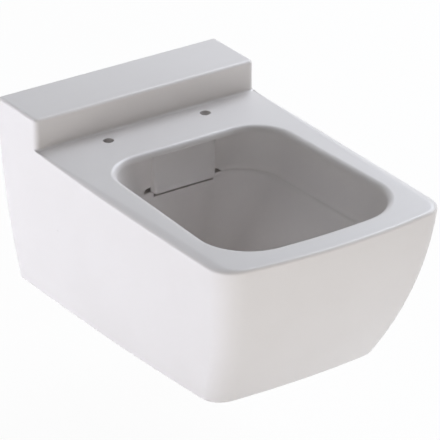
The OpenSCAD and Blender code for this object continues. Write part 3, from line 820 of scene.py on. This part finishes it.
def math_node(tree, operation, *values, **settings):
    return node(tree, "ShaderNodeMath", *values, operation=operation, **settings).outputs[0]


def new_group(name, inputs, outputs, kind="ShaderNodeTree"):
    """A node group; each input is a kind of socket, with its usual value if it needs one."""
    tree = bpy.data.node_groups.new(name, kind)
    for socket, (sort, *usual) in inputs.items():
        made = tree.interface.new_socket(socket, in_out="INPUT", socket_type=SOCKETS[sort])
        if usual:
            made.default_value = usual[0]
    for socket, sort in outputs.items():
        tree.interface.new_socket(socket, in_out="OUTPUT", socket_type=SOCKETS[sort])
    ends = tree.nodes.new("NodeGroupInput"), tree.nodes.new("NodeGroupOutput")
    return tree, ends[0].outputs, ends[1].inputs


def object_noise(tree, scale, detail=2.0, roughness=0.5):
    place = node(tree, "ShaderNodeTexCoord").outputs["Object"]
    made = node(tree, "ShaderNodeTexNoise")
    fill(tree, made, {"Vector": place, "Scale": scale, "Detail": detail, "Roughness": roughness})
    return made.outputs[0]


def blend_colors(tree, share, first, second):
    made = node(tree, "ShaderNodeMix", data_type="RGBA")
    fill(tree, made, {0: share, 6: first, 7: second})
    return made.outputs[2]


def soft_step(tree, value, *limits):
    """Goes softly from one value to another between two limits."""
    kind = "ShaderNodeMapRange"
    return node(tree, kind, value, *limits, interpolation_type="SMOOTHSTEP").outputs[0]


def grey(level):
    return (level, level, level, 1)


# %% Shared effects
tone_tree, given, result = new_group(
    "uneven_tone",
    {"Color": ("color", grey(0.8)), "Other Color": ("color", grey(0.7)), "Scale": ("value", 8.0)},
    {"Color": "color"},
)
cloud = object_noise(tone_tree, given["Scale"], 3.0)
share = soft_step(tone_tree, cloud, 0.35, 0.65, 0.0, 1.0)
mixed = blend_colors(tone_tree, share, given["Color"], given["Other Color"])
tone_tree.links.new(mixed, result["Color"])

relief_tree, given, result = new_group(
    "surface_relief",
    {
        "Wave Scale": ("value", 20.0),
        "Grain Scale": ("value", 400.0),
        "Grain Share": ("value", 0.3),
        "Roughness": ("value", 0.3),
        "Roughness Spread": ("value", 0.1),
    },
    {"Height": "value", "Roughness": "value"},
)
wave = object_noise(relief_tree, given["Wave Scale"], 2.0)
grain = object_noise(relief_tree, given["Grain Scale"], 3.0, 0.6)
height = math_node(relief_tree, "MULTIPLY_ADD", grain, given["Grain Share"], wave)
relief_tree.links.new(height, result["Height"])
rough = math_node(relief_tree, "SUBTRACT", wave, 0.5)
spread, middle = given["Roughness Spread"], given["Roughness"]
rough = math_node(relief_tree, "MULTIPLY_ADD", rough, spread, middle)
relief_tree.links.new(math_node(relief_tree, "MAXIMUM", rough, 0.02), result["Roughness"])

speck_tree, given, result = new_group(
    "fine_specks",
    {
        "Scale": ("value", 300.0),
        "Size": ("value", 0.12),
        "Color": ("color", grey(1)),
        "Speck Color": ("color", grey(0)),
    },
    {"Color": "color", "Mask": "value"},
)
cells = node(speck_tree, "ShaderNodeTexVoronoi")
place = node(speck_tree, "ShaderNodeTexCoord").outputs["Object"]
fill(speck_tree, cells, {"Vector": place, "Scale": given["Scale"]})
speck = math_node(speck_tree, "LESS_THAN", cells.outputs["Distance"], given["Size"])
mixed = blend_colors(speck_tree, speck, given["Color"], given["Speck Color"])
speck_tree.links.new(mixed, result["Color"])
speck_tree.links.new(speck, result["Mask"])
print("shared effects:", [g.name for g in bpy.data.node_groups])

# %% [markdown]
# ## Finishes
#
# Sanitary china is a white clay body under a thick opaque glaze. The glaze levels itself in the
# kiln, so it is smooth and glossy but never quite flat: long soft waves, and a very fine orange
# peel. Where no glaze is sprayed, the bare clay stays matt and slightly warm. Zinc plating has a
# faint mottle, rubber and nylon keep the mould's grain, and the steel fixings are drawn bright.

# %% Make the materials
def use_group(tree, group, values):
    made = node(tree, "ShaderNodeGroup", node_tree=group)
    fill(tree, made, values)
    return made.outputs


def uneven(tree, color, other, scale):
    values = {"Color": (*color, 1), "Other Color": (*other, 1), "Scale": scale}
    return use_group(tree, tone_tree, values)["Color"]


def finish(name, color, other, tone_scale, relief, bump, specks=None, **shader):
    """A material with an uneven tone, a relief that also moves its roughness, and fine specks.

    relief is the scales of waves and grain, the grain's share, the roughness and its spread;
    bump is a strength and a depth in millimetres; specks is a scale, a size and a colour.
    """
    made = bpy.data.materials.get(name) or bpy.data.materials.new(name)
    made.use_nodes = True
    tree = made.node_tree
    surface = tree.nodes["Principled BSDF"]
    tone = uneven(tree, color, other, tone_scale)
    if specks:
        scale, size, speck_color = specks
        values = {"Scale": scale, "Size": size, "Color": tone, "Speck Color": (*speck_color, 1)}
        tone = use_group(tree, speck_tree, values)["Color"]
    names = ("Wave Scale", "Grain Scale", "Grain Share", "Roughness", "Roughness Spread")
    form = use_group(tree, relief_tree, dict(zip(names, relief)))
    strength, distance = bump
    raised = node(tree, "ShaderNodeBump")
    fill(tree, raised, {"Strength": strength, "Distance": distance * MM, "Height": form["Height"]})
    fill(tree, surface, {"Base Color": tone, "Roughness": form["Roughness"]})
    fill(tree, surface, {"Normal": raised.outputs[0]})
    fill(tree, surface, {key.replace("_", " "): value for key, value in shader.items()})
    made.diffuse_color = (*color, 1)
    return made


GLAZE_COLORS = (0.80, 0.766, 0.744), (0.815, 0.782, 0.761)
COAT = {"Coat_Weight": 0.1, "Coat_Roughness": 0.2}
white_glaze = finish(
    "white_glaze", *GLAZE_COLORS, 7.0, (22, 900, 0.04, 0.40, 0.05), (0.25, 0.25), **COAT
)
plate_glaze = finish(
    "plate_glaze", *GLAZE_COLORS, 11.0, (35, 900, 0.05, 0.42, 0.05), (0.25, 0.25), **COAT
)
bare_clay = finish(
    "bare_clay", (0.66, 0.64, 0.60), (0.61, 0.59, 0.55), 14.0,
    (60, 1400, 0.5, 0.86, 0.1), (0.5, 0.3), (900, 0.16, (0.45, 0.42, 0.38)),
)
zinc = finish(
    "zinc_plate", (0.55, 0.57, 0.59), (0.48, 0.50, 0.53), 110.0,
    (140, 900, 0.5, 0.36, 0.3), (0.35, 0.1), Metallic=1.0,
)
rubber = finish(
    "moulded_rubber", (0.040, 0.040, 0.043), (0.052, 0.052, 0.055), 40.0,
    (120, 1600, 0.7, 0.62, 0.15), (0.5, 0.15), (1100, 0.1, (0.08, 0.08, 0.08)),
)
nylon = finish(
    "moulded_nylon", (0.72, 0.70, 0.63), (0.67, 0.65, 0.58), 50.0,
    (90, 1500, 0.5, 0.42, 0.12), (0.4, 0.1), Subsurface_Weight=0.15, Subsurface_Scale=0.002,
)
steel = finish(
    "drawn_steel", (0.50, 0.51, 0.52), (0.42, 0.43, 0.44), 120.0,
    (200, 2200, 0.8, 0.28, 0.2), (0.35, 0.06), Metallic=1.0,
)
print("materials:", [m.name for m in bpy.data.materials if m.use_nodes])


# %% Dress a piece
def dress(piece, *materials):
    """Gives the piece its materials, in the order of its slots."""
    slots = piece.data.materials
    for i, material in enumerate(materials):
        if i < len(slots):
            slots[i] = material
        else:
            slots.append(material)
    while len(slots) > len(materials):
        slots.pop()


dress(china_pan, bare_clay, white_glaze)
dress(deflector, plate_glaze)

# %% [markdown]
# ## The inlet seal
#
# A rubber collar in the china's inlet, with a flange against its face and lips inside that press
# on the flush pipe. It is moulded, so it is a turned profile with every corner a little soft.

# %% Turn the inlet seal
def soften(corners, r, steps=4):
    """A closed outline with each corner cut by a short curve that reaches r along both sides."""
    corners = np.asarray(corners, float)
    out = []
    for i, corner in enumerate(corners):
        ends = []
        for other in (corners[i - 1], corners[(i + 1) % len(corners)]):
            side = other - corner
            ends.append(corner + side * min(0.45, r / math.hypot(*side)))
        out += curve(ends[0], corner, ends[1], steps)
    return out


def turned(name, profile, along_wall_at=None, steps=72):
    """A ring turned from an outline of (radius, distance along the axis) points.

    Its axis is Z, or runs off the wall at the height given.
    """
    a = around(steps)
    rings = [level_ring(r, a, d) for r, d in profile]
    if along_wall_at is not None:
        rings = [ring[:, [0, 2, 1]] * (1, -1, 1) + (0, 0, along_wall_at) for ring in rings]
    return hoop(name, rings)


SEAL_BORE, SEAL_LEN, LIP_DEPTH = 22.5, 36.0, 1.3
seal_profile = [(SEAL_FLANGE_R, 0), (SEAL_FLANGE_R, SEAL_FLANGE_T), (INLET_R, SEAL_FLANGE_T)]
seal_profile += [(INLET_R, SEAL_LEN - 6), (INLET_R - 1.5, SEAL_LEN), (SEAL_BORE, SEAL_LEN)]
for d in (33.5, 23.5, 13.5):
    deep = SEAL_BORE + LIP_DEPTH
    seal_profile += [(SEAL_BORE, d), (deep, d - 1), (deep, d - 7), (SEAL_BORE, d - 8.5)]
seal_profile += [(SEAL_BORE, 0)]
seal = turned("seal", soften(seal_profile, 0.7), INLET_RISE, steps=96)
dress(finish_piece(seal, "rubber_inlet_seal", ["inlet_seal"]), rubber)

# %% [markdown]
# ## The wall brackets
#
# Each bracket is cut from flat steel and welded: a flange against the wall, an arm that carries
# the pan, and a gusset under it. The weld along the inner corner is a row of small overlapping
# beads. After welding the bracket is zinc plated, so its cut edges are slightly rounded.

# %% Weld the brackets
ARM_X, ARM_HALF, ARM_LEN, ARM_LOW, ARM_T = 77.5, 12.5, 136.0, 13.0, 10.0
FLANGE_T, FLANGE_LOW, FLANGE_OUT, GUSSET_LEN, GUSSET_T = 5.0, -26.0, 108.0, 70.0, 5.0
STUD_X, STUD_HOLE, CLAMP_R = 90.0, 6.5, 5.0
ARM_TOP = ARM_LOW + ARM_T


def side_prism(name, corners, start, end):
    """A solid with an outline in the plane of y and z, from one x to another."""
    rings = [ring_of(x, *np.array(corners).T) for x in (start, end)]
    return loft(name, rings, 0, widen=False)


def weld_bead(start, end, r=2.4, pitch=2.2, per_bead=6):
    """A rippled bar between two points, whose thickness rises and falls once for every bead."""
    start, end = np.array(start, float), np.array(end, float)
    length = math.dist(start, end)
    along = (end - start) / length
    across = np.cross(along, (0, 0, 1) if abs(along[2]) < 0.9 else (1, 0, 0))
    across /= np.linalg.norm(across)
    other = np.cross(along, across)
    a = around(16)[:, None]
    rings = []
    for t in np.linspace(0, length, int(length / pitch * per_bead)):
        ripple = r * (0.86 + 0.14 * abs(math.sin(math.pi * t / pitch)))
        ripple *= min(1, 0.5 + min(t, length - t) / r)
        rings.append(start + along * t + ripple * (np.cos(a) * across + np.sin(a) * other))
    return loft("bead", rings, 0, widen=False)


def bracket_body(s, inner):
    """The flange, the round ended arm and the gusset, with holes for the stud and the screw."""
    flange_outline = side_box(s, ARM_X - ARM_HALF, FLANGE_OUT, FLANGE_LOW, ARM_TOP, 0)
    flange = prism("flange", soften(flange_outline, 3, 6), 0, -FLANGE_T, slot=0)
    end = arc_points((s * ARM_X, ARM_LEN - ARM_HALF), ARM_HALF, np.linspace(0, math.pi, 25))
    arm_outline = [(s * ARM_X + ARM_HALF, 1), *end, (s * ARM_X - ARM_HALF, 1)]
    arm = prism("arm", np.array(arm_outline) * (1, -1), ARM_LOW, ARM_TOP, "z", 0)
    tip, root = -FLANGE_T - GUSSET_LEN, -1
    corners = [(root, ARM_LOW + 1), (tip, ARM_LOW + 1), (tip, ARM_LOW - 1.5)]
    corners += [(-FLANGE_T - 1.5, FLANGE_LOW + 1), (root, FLANGE_LOW + 1)]
    gusset = side_prism("gusset", corners, *sorted((inner, inner + s * GUSSET_T)))
    body = combine(flange, [arm, gusset], "UNION")
    through = -1, FLANGE_T + 1
    stud_hole = round_along_y("stud_hole", STUD_HOLE, *through, s * STUD_X, slot=0, steps=48)
    clamp_outline = arc_points((s * ARM_X, -HINGE_BACK), CLAMP_R, around(48))
    clamp_hole = prism("clamp_hole", clamp_outline, ARM_LOW - 1, ARM_TOP + 1, "z", 0)
    return combine(body, [stud_hole, clamp_hole], "DIFFERENCE")


def bracket(s, name, node_name):
    inner = s * (ARM_X - ARM_HALF)
    body = bracket_body(s, inner)
    soften_edges(body, 0.7)
    x, y, z = inner + s * GUSSET_T, -FLANGE_T, ARM_LOW
    beads = [
        weld_bead((x + s, y, z), (s * (ARM_X + ARM_HALF - 1), y, z)),
        weld_bead((x, y - 1, z), (x, y - GUSSET_LEN + 4, z), 1.9),
        weld_bead((x, y, z - 2), (x, y, FLANGE_LOW + 5), 1.9),
    ]
    combine(body, beads, "UNION")
    dress(finish_piece(body, name, [node_name], sharp=30), zinc)


bracket(-1, "left_steel_bracket", "left_wall_bracket")
bracket(1, "right_steel_bracket", "right_wall_bracket")

# %% [markdown]
# ## Nylon caps and wedge pads
#
# The caps sit over the arms where the china hangs, so that it never touches steel. The pads spread
# the screws' pressure on the sloping shelves. Both are injection moulded, with grip ribs.

# %% Mould the caps and pads
CAP_LEN, CAP_T, CAP_SIDE_T, CAP_SIDE_H = 34.0, 3.0, 2.0, 8.0
PAD_HALF = 9.0


def box_outline(x, half_x, low, high):
    return [(x - half_x, low), (x + half_x, low), (x + half_x, high), (x - half_x, high)]


def mould(body, grooves, soft, name, node_name):
    """Cuts the grooves, softens the edges and finishes the piece in nylon."""
    combine(body, grooves, "DIFFERENCE")
    soften_edges(body, soft)
    dress(finish_piece(body, name, [node_name], sharp=30), nylon)


def cap(s, name, node_name):
    x, wide, low = s * ARM_X, ARM_HALF + CAP_SIDE_T, HANG - CAP_T - CAP_SIDE_H
    corners = [(wide, low), (wide, HANG), (-wide, HANG), (-wide, low)]
    corners += [(-ARM_HALF, low), (-ARM_HALF, ARM_TOP), (ARM_HALF, ARM_TOP), (ARM_HALF, low)]
    body = prism("cap", np.array(corners) + (x, 0), -CAP_LEN, -FLANGE_T, slot=0)
    grooves = []
    for y in np.arange(-CAP_LEN + 4, -FLANGE_T - 3, 3.0):
        for side in (-1, 1):
            outline = box_outline(x + side * wide, 0.5, low + 2, HANG - 2.5)
            grooves.append(prism("groove", outline, y - 0.6, y + 0.6, slot=0))
    mould(body, grooves, 0.3, name, node_name)


def pad(s, name, node_name):
    slope = math.tan(math.radians(SHELF_SLOPE)) * PAD_HALF
    back, front_y = PAD_HALF - HINGE_BACK, -PAD_HALF - HINGE_BACK
    corners = [(back, 0), (front_y, 0), (front_y, SHELF_Z - slope), (back, SHELF_Z + slope)]
    body = side_prism("pad", corners, s * ARM_X - PAD_HALF, s * ARM_X + PAD_HALF)
    grooves = []
    for y in (-5.0, 0.0, 5.0):
        for side in (-1, 1):
            centre = y - HINGE_BACK
            outline = box_outline(s * ARM_X + side * PAD_HALF, 0.6, centre - 0.8, centre + 0.8)
            grooves.append(prism("groove", outline, -4.5, -1.5, "z", 0))
    mould(body, grooves, 0.35, name, node_name)


cap(-1, "left_nylon_cap", "left_bracket_cap")
cap(1, "right_nylon_cap", "right_bracket_cap")
pad(-1, "left_nylon_pad", "left_wedge_pad")
pad(1, "right_nylon_pad", "right_wedge_pad")

# %% [markdown]
# ## Threads and pairs, by Geometry Nodes
#
# A thread is a rule: the surface dips where height over pitch, less the share of a turn, is near
# a whole number. One tree cuts it into any dense round surface on the Z axis, inside or outside.
# A second tree sets a finished piece at its two places, left and right, and gives it a material.

# %% The thread tree and the pair tree
def new_tree(name, inputs):
    """A tree that changes geometry by named inputs and gives it a material."""
    inputs = {"Geometry": ["geometry"]} | inputs | {"Material": ["material"]}
    return new_group(name, inputs, {"Geometry": "geometry"}, "GeometryNodeTree")


def end_tree(tree, geometry, given, result):
    """Makes instances real, gives everything the material, and hands it out."""
    real = node(tree, "GeometryNodeRealizeInstances", geometry).outputs[0]
    made = node(tree, "GeometryNodeSetMaterial", real)
    fill(tree, made, {"Material": given["Material"]})
    tree.links.new(made.outputs[0], result["Geometry"])


lengths = ("Radius", "Depth", "Pitch", "Start", "End")
thread_tree, given, result = new_tree("helical_thread", dict.fromkeys(lengths, ["value"]))
spot = node(thread_tree, "GeometryNodeInputPosition").outputs[0]
x, y, z = node(thread_tree, "ShaderNodeSeparateXYZ", spot).outputs
flat = node(thread_tree, "ShaderNodeCombineXYZ", x, y, 0.0).outputs[0]
away = node(thread_tree, "ShaderNodeVectorMath", flat, operation="LENGTH").outputs["Value"]
turn = math_node(thread_tree, "DIVIDE", math_node(thread_tree, "ARCTAN2", y, x), 2 * math.pi)
climb = math_node(thread_tree, "DIVIDE", z, given["Pitch"])
climb = math_node(thread_tree, "SUBTRACT", climb, turn)
ridge = math_node(thread_tree, "PINGPONG", climb, 0.5)
dip = math_node(thread_tree, "MULTIPLY_ADD", ridge, 2.6, -0.3, use_clamp=True)
run_in = math_node(thread_tree, "SUBTRACT", z, given["Start"])
run_out = math_node(thread_tree, "SUBTRACT", given["End"], z)
room = math_node(thread_tree, "MINIMUM", run_in, run_out)
inside = math_node(thread_tree, "DIVIDE", room, given["Pitch"], use_clamp=True)
deep = math_node(thread_tree, "MULTIPLY", dip, inside)
deep = math_node(thread_tree, "MULTIPLY", deep, given["Depth"])
outward = node(thread_tree, "ShaderNodeVectorMath", flat, operation="NORMALIZE").outputs[0]
move = node(thread_tree, "ShaderNodeVectorMath", outward, operation="SCALE")
fill(thread_tree, move, {"Scale": math_node(thread_tree, "MULTIPLY", deep, -1.0)})
near = math_node(thread_tree, "COMPARE", away, given["Radius"], 0.05 * MM)
cut = node(thread_tree, "GeometryNodeSetPosition")
fill(thread_tree, cut, {0: given["Geometry"], "Selection": near, "Offset": move.outputs[0]})
end_tree(thread_tree, cut.outputs[0], given, result)

inputs = {"Place": ["vector"], "Tilt": ["vector"]}
pair_tree, given, result = new_tree("left_and_right", inputs)
x, y, z = node(pair_tree, "ShaderNodeSeparateXYZ", given["Place"]).outputs
other_x = math_node(pair_tree, "MULTIPLY", x, -1.0)
left = node(pair_tree, "ShaderNodeCombineXYZ", other_x, y, z).outputs[0]
line = node(pair_tree, "GeometryNodeMeshLine", mode="END_POINTS")
fill(pair_tree, line, {"Count": 2, "Start Location": left, "Offset": given["Place"]})
spread = node(pair_tree, "GeometryNodeInstanceOnPoints")
fill(pair_tree, spread, {"Points": line.outputs[0], "Instance": given["Geometry"]})
fill(pair_tree, spread, {"Rotation": given["Tilt"]})
end_tree(pair_tree, spread.outputs[0], given, result)


def run_tree(o, tree, values):
    """Runs one tree on an object, and leaves the result as its plain mesh."""
    modifier = o.modifiers.new(tree.name, "NODES")
    modifier.node_group = tree
    sockets = [item for item in tree.interface.items_tree if item.in_out == "INPUT"]
    names = {item.name: item.identifier for item in sockets}
    for name, value in values.items():
        modifier[names[name]] = value
    apply_modifiers(o)


# %% [markdown]
# ## Washers, nuts and clamp screws
#
# The washers are stamped, so their rims are round. The nuts are hexagons whose corners are turned
# off at a cone, with a threaded bore. The clamp screws are socket set screws: a hexagonal socket,
# a pointless cup end, and a thread along the whole length.

# %% Make the fixings
WASHER_R, WASHER_T, NUT_FLATS, NUT_T, NUT_BORE = 12.0, 2.5, 19.0, 10.0, STUD_HOLE - 0.5
NUT_CHAMFER = 0.8
CLAMP_LEN, CLAMP_CREST, SOCKET_FLATS, SOCKET_DEPTH = 36.0, CLAMP_R - 0.05, 5.0, 6.0
UPRIGHT, TO_WALL = (0.0, 0.0, 0.0), (math.pi / 2, 0.0, 0.0)


def hexagon_reach(a, flats):
    """How far a hexagon reaches at an angle."""
    return flats / 2 / np.cos((a + math.pi / 6) % (math.pi / 3) - math.pi / 6)


def nut():
    """A hexagon turned off at both ends, with a bore dense enough for a thread."""
    a = around(96)
    corners = hexagon_reach(a, NUT_FLATS)
    cone = [(0, 9.3), (0.3, 9.7), (0.9, 10.7), (1.2, 20)]
    cone += [(NUT_T - z, limit) for z, limit in cone[::-1]]
    rings = [level_ring(np.minimum(corners, limit), a, z) for z, limit in cone]
    mouth = NUT_BORE + NUT_CHAMFER * math.tan(math.radians(30))
    bore = [(z, NUT_BORE) for z in np.linspace(NUT_T - NUT_CHAMFER, NUT_CHAMFER, 90)]
    rings += [level_ring(r, a, z) for z, r in [(NUT_T, mouth), *bore, (0, mouth)]]
    return hoop("nut", rings)


def clamp_screw():
    """A shank dense enough for a thread, and a hexagonal socket sunk into its top."""
    a = around(48)
    stops = [(0.0, 2.0), (0.0, 3.6), (0.9, CLAMP_CREST)]
    stops += [(z, CLAMP_CREST) for z in np.linspace(1.0, CLAMP_LEN - 0.9, 270)]
    stops += [(CLAMP_LEN - 0.1, CLAMP_CREST - 0.6), (CLAMP_LEN, CLAMP_CREST - 0.9)]
    socket, floor_z = hexagon_reach(a, SOCKET_FLATS), CLAMP_LEN - SOCKET_DEPTH
    for z, wider in ((CLAMP_LEN, 0.35), (CLAMP_LEN - 0.35, 0), (floor_z, 0), (floor_z - 0.8, -1.2)):
        stops.append((z, socket + wider))
    return loft("screw", [level_ring(r, a, z)[::-1] for z, r in stops], 0, widen=False)


def cut_thread(o, **lengths):
    lengths = {key: value * MM for key, value in lengths.items()}
    run_tree(o, thread_tree, lengths | {"Material": steel})


def finish_pair(o, x, y, tilt, name, node_name, sharp):
    run_tree(o, pair_tree, {"Place": (x * MM, y * MM, 0.0), "Tilt": tilt, "Material": steel})
    dress(finish_piece(o, name, [node_name], sharp=sharp), steel)


corners = [(STUD_HOLE, 0), (WASHER_R, 0), (WASHER_R, WASHER_T), (STUD_HOLE, WASHER_T)]
washer = turned("washer", soften(corners, 0.7, 6))
finish_pair(washer, STUD_X, -FLANGE_T, TO_WALL, "steel_washers", "stud_washers", 50)

one_nut = nut()
cut_thread(one_nut, Radius=NUT_BORE, Depth=-0.55, Pitch=1.75, Start=0.4, End=NUT_T - 0.4)
finish_pair(one_nut, STUD_X, -FLANGE_T - WASHER_T, TO_WALL, "steel_nuts", "stud_nuts", 32)

screw = clamp_screw()
cut_thread(screw, Radius=CLAMP_CREST, Depth=0.8, Pitch=1.5, Start=0.6, End=CLAMP_LEN - 0.6)
finish_pair(screw, ARM_X, -HINGE_BACK, UPRIGHT, "steel_clamp_screws", "clamp_screws", 50)

# %% [markdown]
# ## The studio
#
# A pale floor well below the pan, for the wall hung pan stands on nothing, which is left out when
# it is seen from below. The key light is a broad, low soft box to the left, and another in front
# fills the skirt; both stay under the deck's height. Large lamps high on the right and a little
# behind light the deck, and leave the raised back's face and the bowl in shade.

# %% Floor, world and lights
FLOOR_Z, FLOOR_HALF = -0.33, 9.0
FLOOR_COLORS = (0.86, 0.86, 0.86), (0.84, 0.84, 0.84)


def seen_ray(tree):
    """Is 1 for rays that look straight, by a reflection or through glass at the background."""
    ray = tree.nodes.new("ShaderNodeLightPath").outputs
    either = math_node(tree, "MAXIMUM", ray["Is Camera Ray"], ray["Is Glossy Ray"])
    return math_node(tree, "MAXIMUM", either, ray["Is Transmission Ray"])


floor_mesh = bpy.data.meshes.new("floor")
corners = box_outline(0, FLOOR_HALF, -FLOOR_HALF, FLOOR_HALF)
floor_mesh.from_pydata([(x, y, FLOOR_Z) for x, y in corners], [], [(0, 1, 2, 3)])
floor = bpy.data.objects.new("floor", floor_mesh)
scene.collection.objects.link(floor)
floor_paint = bpy.data.materials.new("floor_paint")
floor_paint.use_nodes = True
tree = floor_paint.node_tree
paint = tree.nodes["Principled BSDF"]
tone = uneven(tree, *FLOOR_COLORS, 2.0)
fill(tree, paint, {"Base Color": tone, "Roughness": 0.9, "Specular IOR Level": 0.1})
glow = node(tree, "ShaderNodeEmission", grey(1), 1.0)
share = math_node(tree, "MULTIPLY", seen_ray(tree), 0.96)
blend = node(tree, "ShaderNodeMixShader", share, paint.outputs[0], glow.outputs[0])
below = node(tree, "ShaderNodeNewGeometry").outputs["Backfacing"]
see_through = node(tree, "ShaderNodeBsdfTransparent")
blend = node(tree, "ShaderNodeMixShader", below, blend.outputs[0], see_through.outputs[0])
tree.links.new(blend.outputs[0], tree.nodes["Material Output"].inputs["Surface"])
floor_mesh.materials.append(floor_paint)

HORIZON, ZENITH = 0.60, 0.04
world = bpy.data.worlds.new("white_studio")
scene.world = world
world.use_nodes = True
tree = world.node_tree
sky = node(tree, "ShaderNodeTexCoord").outputs["Generated"]
up = node(tree, "ShaderNodeSeparateXYZ", sky).outputs["Z"]
dome = soft_step(tree, up, 0.02, 0.3, HORIZON, ZENITH)
level = node(tree, "ShaderNodeMix", data_type="FLOAT")
fill(tree, level, {0: seen_ray(tree), 2: dome, 3: 1.0})
tint = blend_colors(tree, seen_ray(tree), (1.0, 0.965, 0.93, 1), grey(1))
fill(tree, tree.nodes["Background"], {"Color": tint, "Strength": level.outputs[0]})


def soft_box(name, place, aim, size, power, color):
    light = bpy.data.lights.new(name, "AREA")
    light.shape = "RECTANGLE"
    light.size, light.size_y = size
    light.energy = power
    light.color = color
    aimed(name, light, place, Vector(aim) - Vector(place))


MIDDLE = (0.0, -0.27, -0.02)
COOL, WARM = (0.86, 0.91, 1.0), (1.0, 0.98, 0.96)
soft_box("left_key", (-2.3, 0.5, -0.13), (0, -0.27, -0.08), (3.0, 0.36), 45, (0.89, 0.91, 1.0))
soft_box("right_top", (1.8, 0.35, 1.85), MIDDLE, (2.0, 1.8), 66, COOL)
soft_box("left_top", (-2.0, 0.8, 1.6), MIDDLE, (1.8, 1.5), 4, COOL)
soft_box("overhead", (0.1, 0.6, 2.2), MIDDLE, (1.2, 0.6), 1.5, WARM)
soft_box("front_fill", (-0.3, -2.5, -0.13), (0, -0.3, -0.1), (2.6, 0.36), 20.5, WARM)
scene.view_settings.view_transform = "Standard"
